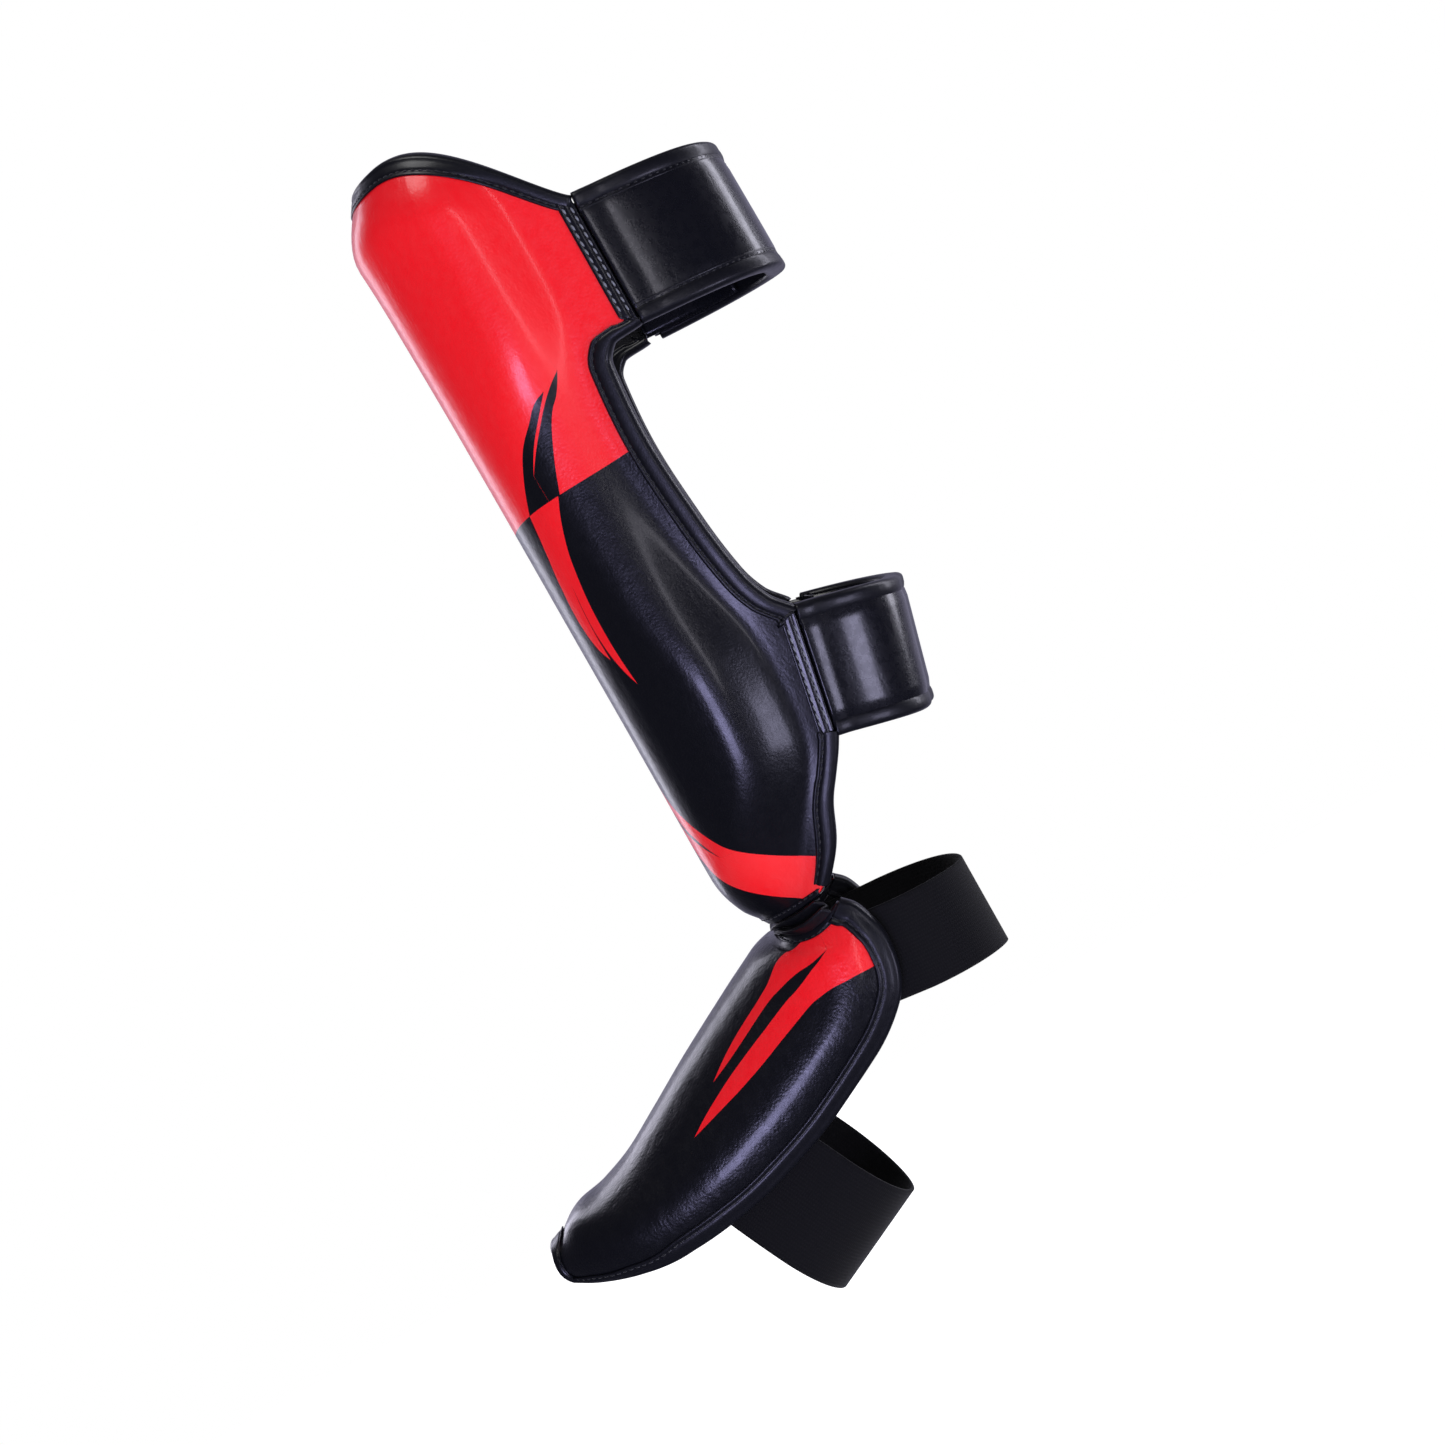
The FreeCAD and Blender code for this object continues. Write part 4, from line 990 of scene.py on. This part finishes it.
shin_leather, tree, surface, place = leather("printed PU leather, shin", RED, 0.34)
flat = add(tree, "SeparateXYZ", {0: place["UV"]}).outputs
W, H = PRINT_WIDTH, PRINT_HEIGHT  # the flat pattern's size, for short lines
above = more_than(tree, flat[1], edge_curve(tree, flat[0], DIVIDE, H, W))
dark = flash(tree, flat[0], flat[1], DARK_FLASH, W, H)
bright = flash(tree, flat[0], flat[1], RED_FLASH, W, H)
top, foot = (edge_curve(tree, flat[0], line, H, W) for line in (ANKLE_TOP, ANKLE_BASE))
band = combine(tree, more_than(tree, flat[1], foot), more_than(tree, top, flat[1]))
high, low = (edge_curve(tree, flat[0], line, H, W) for line in (SLIT_TOP, SLIT_BASE))
slit = combine(tree, more_than(tree, flat[1], low), more_than(tree, high, flat[1]))
upper = combine(tree, above, combine(tree, 1.0, dark, "SUBTRACT"))
lower = combine(tree, combine(tree, 1.0, above, "SUBTRACT"),
             combine(tree, bright, combine(tree, band, slit, "SUBTRACT"), "MAXIMUM"))
printed = add(tree, "Mix", {0: combine(tree, upper, lower, "MAXIMUM"), 6: linear(BLACK),
                            7: linear(RED)}, data_type="RGBA")
tree.links.new(printed.outputs[2], surface.inputs["Base Color"])

# %% Printed instep leather
# Each edge is (share of the length, share of the half width).
FOOT_FLASH = [
    [(0, 0.906), (0.197, 0.453), (0.344, 0.417), (0.421, 0.410), (0.502, 0.453)],
    [(0.17, 0.74), (0.205, 0.679), (0.344, 0.482), (0.479, 0.460), (0.502, 0.453)],
    [(0.17, 0.74), (0.2, 0.705), (0.344, 0.561), (0.436, 0.525), (0.521, 0.518), (0.579, 0.547)],
    [(0, 1), (0.25, 1), (0.263, 0.942), (0.282, 0.82), (0.32, 0.705), (0.386, 0.647),
     (0.459, 0.619), (0.544, 0.568), (0.579, 0.547)]]
instep_leather, tree, surface, place = leather("printed PU leather, instep", RED, 0.32,
                                               cell=1.1, depth=0.16, crease=1.1)
flat = add(tree, "SeparateXYZ", {0: place["UV"]}).outputs
shape = flash(tree, flat[0], flat[1], FOOT_FLASH, 1, 1)
printed = add(tree, "Mix", {0: shape, 6: linear(BLACK), 7: linear(RED)}, data_type="RGBA")
tree.links.new(printed.outputs[2], surface.inputs["Base Color"])
strap_leather = leather("black PU leather, polished", "#090a11", 0.27, cell=0.9, depth=0.05,
                        crease=0.4, coat=0.4)[0]
tape_leather = leather("black binding tape", "#0a0b12", 0.38, cell=0.7, depth=0.06, crease=0.3,
                       coat=0.15)[0]
gusset_leather = leather("soft black leather", "#08090e", 0.45, cell=0.9, depth=0.08, crease=0.4,
                         coat=0.1)[0]

# %% [markdown]
# ## Cloth
# Lining and elastic are woven, so their pattern is threads that cross, drawn on the flat pattern
# of each sheet in metres. The elastic has ribs along its length; the lining is a plain weave.

# %% Woven finishes
WAVES = 314.16  # wave texture scale for bands 1 mm apart


def woven(name, colour, light, across, along, depth, rough, sheen=0.25):
    """Threads as two crossing waves with spacings in millimetres. A wave texture makes 3.18 bands
    a unit, and a unit of the flat pattern is a metre."""
    material, tree, surface, place = finish(
        name, **{"Base Color": linear(colour), "Roughness": rough, "Sheen Weight": sheen,
                 "Sheen Roughness": 0.4, "IOR": 1.45})
    waves = []
    for spacing, axis in ((across, "X"), (along, "Y")):
        waves.append(add(tree, "TexWave", {"Vector": place["UV"], "Scale": WAVES / spacing,
                                           "Distortion": 0.6, "Detail": 1.0, "Detail Scale": 3.0},
                         bands_direction=axis).outputs["Fac"])
    weave = combine(tree, waves[0], waves[1], "MULTIPLY")
    tint = add(tree, "Mix", {0: weave, 6: linear(colour), 7: linear(light)}, data_type="RGBA")
    tree.links.new(tint.outputs[2], surface.inputs["Base Color"])
    bump = add(tree, "Bump", {"Height": weave, "Strength": 0.8, "Distance": depth * MM})
    tree.links.new(bump.outputs[0], surface.inputs["Normal"])
    return material


elastic_weave = woven("woven elastic", "#040405", "#0a0a0c", 1.1, 1.6, 0.08, 0.9, 0.05)
lining_weave = woven("woven polyester lining", "#0b0b0e", "#1b1c22", 1.2, 1.2, 0.15, 0.75)
hook_weave = woven("nylon hook tape", "#060607", "#16161a", 1.5, 1.5, 0.35, 0.6)
loop_weave = woven("brushed nylon loop tape", "#08080a", "#1c1c20", 2.2, 1.7, 0.45, 0.95, 0.5)


def thread_finish(name, colour):
    """Spun thread, with its twist as a slanting wave."""
    material, tree, surface, place = finish(
        name, **{"Base Color": linear(colour), "Roughness": 0.5, "Sheen Weight": 0.2, "IOR": 1.5})
    twist = add(tree, "TexWave", {"Vector": place["Object"], "Scale": 500.0, "Distortion": 1.0},
                bands_direction="DIAGONAL")
    bump = add(tree, "Bump", {"Height": twist.outputs["Fac"], "Strength": 0.5,
                              "Distance": 0.1 * MM})
    tree.links.new(bump.outputs[0], surface.inputs["Normal"])
    return material


grey_thread = thread_finish("grey polyester thread", "#6f727e")
black_thread = thread_finish("black polyester thread", "#14151c")

# %% Give every piece its finish
# The first word that a piece's name holds gives its finish.
FINISHES = [("shin_pad", shin_leather), ("instep_pad", instep_leather),
            ("_strap_pad", strap_leather), ("_seam_margin", strap_leather),
            ("_tab_leather", strap_leather),
            ("tape_stitches", black_thread), ("seam_stitches", grey_thread),
            ("hook_tape", hook_weave), ("loop_tape", loop_weave), ("_tape", tape_leather),
            ("_cloth", lining_weave), ("_band", elastic_weave), ("gusset_pleats", gusset_leather)]
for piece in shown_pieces():
    found = [material for word, material in FINISHES if word in piece.name]
    piece.data.materials.clear()
    piece.data.materials.append(found[0])

# %% [markdown]
# ## Light, floor and camera
# Glossy black leather is drawn by what it reflects. Softboxes beyond the front and the back give it
# thin bright rims, one at the side gives the soft streak along the ridge, two low ones give the
# wide pale gleams on the instep and the lower strap, and the rest of the room is dim in
# reflections, so that black stays black in front of a white background.

# %% Studio
ROOM_LIGHT = 0.5  # what lights the surfaces evenly
FAR_GLOW, GLOW_ENDS, DARK_ROOM = 0.45, -0.7, 0.04  # reflections: far side, its reach, the rest
FLOOR_DROP, FLOOR_SIZE = 0.75, 8.0
scene = bpy.context.scene
scene.view_settings.view_transform = "Standard"
world = bpy.data.worlds.new("white studio")
world.use_nodes = True
tree = world.node_tree
tree.nodes.clear()
seen = add(tree, "LightPath").outputs["Is Camera Ray"]
glint = add(tree, "LightPath").outputs["Is Glossy Ray"]
room = add(tree, "Background", {"Color": linear("#f8f6ff"), "Strength": ROOM_LIGHT})
side = add(tree, "SeparateXYZ", {0: add(tree, "TexCoord").outputs["Generated"]}).outputs["X"]
glow = add(tree, "MapRange", {"Value": side, "From Min": -1.0, "From Max": GLOW_ENDS,
                              "To Min": FAR_GLOW, "To Max": DARK_ROOM})
dim = add(tree, "Background", {"Color": linear("#dedaff"), "Strength": glow.outputs[0]})
white = add(tree, "Background", {"Color": (1, 1, 1, 1), "Strength": 1.0})
reflected = add(tree, "MixShader", {0: glint, 1: room.outputs[0], 2: dim.outputs[0]})
everything = add(tree, "MixShader", {0: seen, 1: reflected.outputs[0], 2: white.outputs[0]})
add(tree, "OutputWorld", {"Surface": everything.outputs[0]})
scene.world = world

bpy.ops.mesh.primitive_plane_add(size=FLOOR_SIZE, location=(0, 0, cad_box[0][2] - FLOOR_DROP))
floor = bpy.context.object
floor.name = "floor"
material, tree, surface, place = finish("white paper", **{
    "Base Color": linear("#f7f7f7"), "Roughness": 0.9, "Emission Color": (1, 1, 1, 1),
    "Emission Strength": 1.0})
floor.data.materials.append(material)
floor.visible_glossy = False


def softbox(name, place, aim, size, power, colour="#ffffff"):
    """A rectangular light that faces a point."""
    light = bpy.data.lights.new(name, "AREA")
    light.shape = "RECTANGLE"
    light.size, light.size_y = size
    light.energy = power
    light.color = linear(colour)[:3]
    lamp = bpy.data.objects.new(name, light)
    place, aim = np.array(place), np.array(aim)
    back = (place - aim) / np.linalg.norm(place - aim)
    right = np.cross((0, 0, 1.0), back)
    right /= np.linalg.norm(right)
    up = np.cross(back, right)
    lamp.matrix_world = Matrix([(*row, p) for row, p in zip(np.c_[right, up, back], place)]
                               + [(0, 0, 0, 1)])
    lamp.visible_camera = False
    scene.collection.objects.link(lamp)


HEART = (0.0, -0.02, 0.09)  # the middle of the guard
softbox("front rim", (-1.0, -0.65, 0.30), HEART, (0.25, 1.2), 2.2, "#f0eeff")
softbox("ridge side", (1.13, 0.41, 0.26), (0.05, 0.0, 0.22), (0.09, 0.8), 1.0, "#f4f1ff")
softbox("low front", (1.17, -0.30, -0.19), (0.04, -0.07, -0.05), (0.40, 0.32), 4.5, "#c9c6ff")
softbox("lower strap side", (0.66, 0.91, -0.35), (0.05, 0.04, 0.08), (0.40, 0.30), 2.6, "#dcdaff")
softbox("back rim", (-0.7, 1.05, 0.3), HEART, (0.25, 1.2), 4, "#efeeff")
softbox("top", (0.3, -0.1, 1.4), HEART, (0.6, 0.6), 4)

# %% Camera
EYE, AIM = np.array((1.150, 0.01904, 0.16029)), np.array((0.0, -0.02346, 0.08517))
ROLL_RIGHT = np.array((0.0, 0.8704, -0.4924))
ahead = (AIM - EYE) / np.linalg.norm(AIM - EYE)
upright = np.cross(ROLL_RIGHT, ahead)
upright /= np.linalg.norm(upright)
level = np.cross(ahead, upright)
camera_data = bpy.data.cameras.new("camera")
camera_data.sensor_width, camera_data.lens = 36.0, 68.4  # both in millimetres
camera = bpy.data.objects.new("camera", camera_data)
camera.matrix_world = Matrix([(*row, p) for row, p in zip(np.c_[level, upright, -ahead], EYE)]
                             + [(0, 0, 0, 1)])
scene.collection.objects.link(camera)
scene.camera = camera
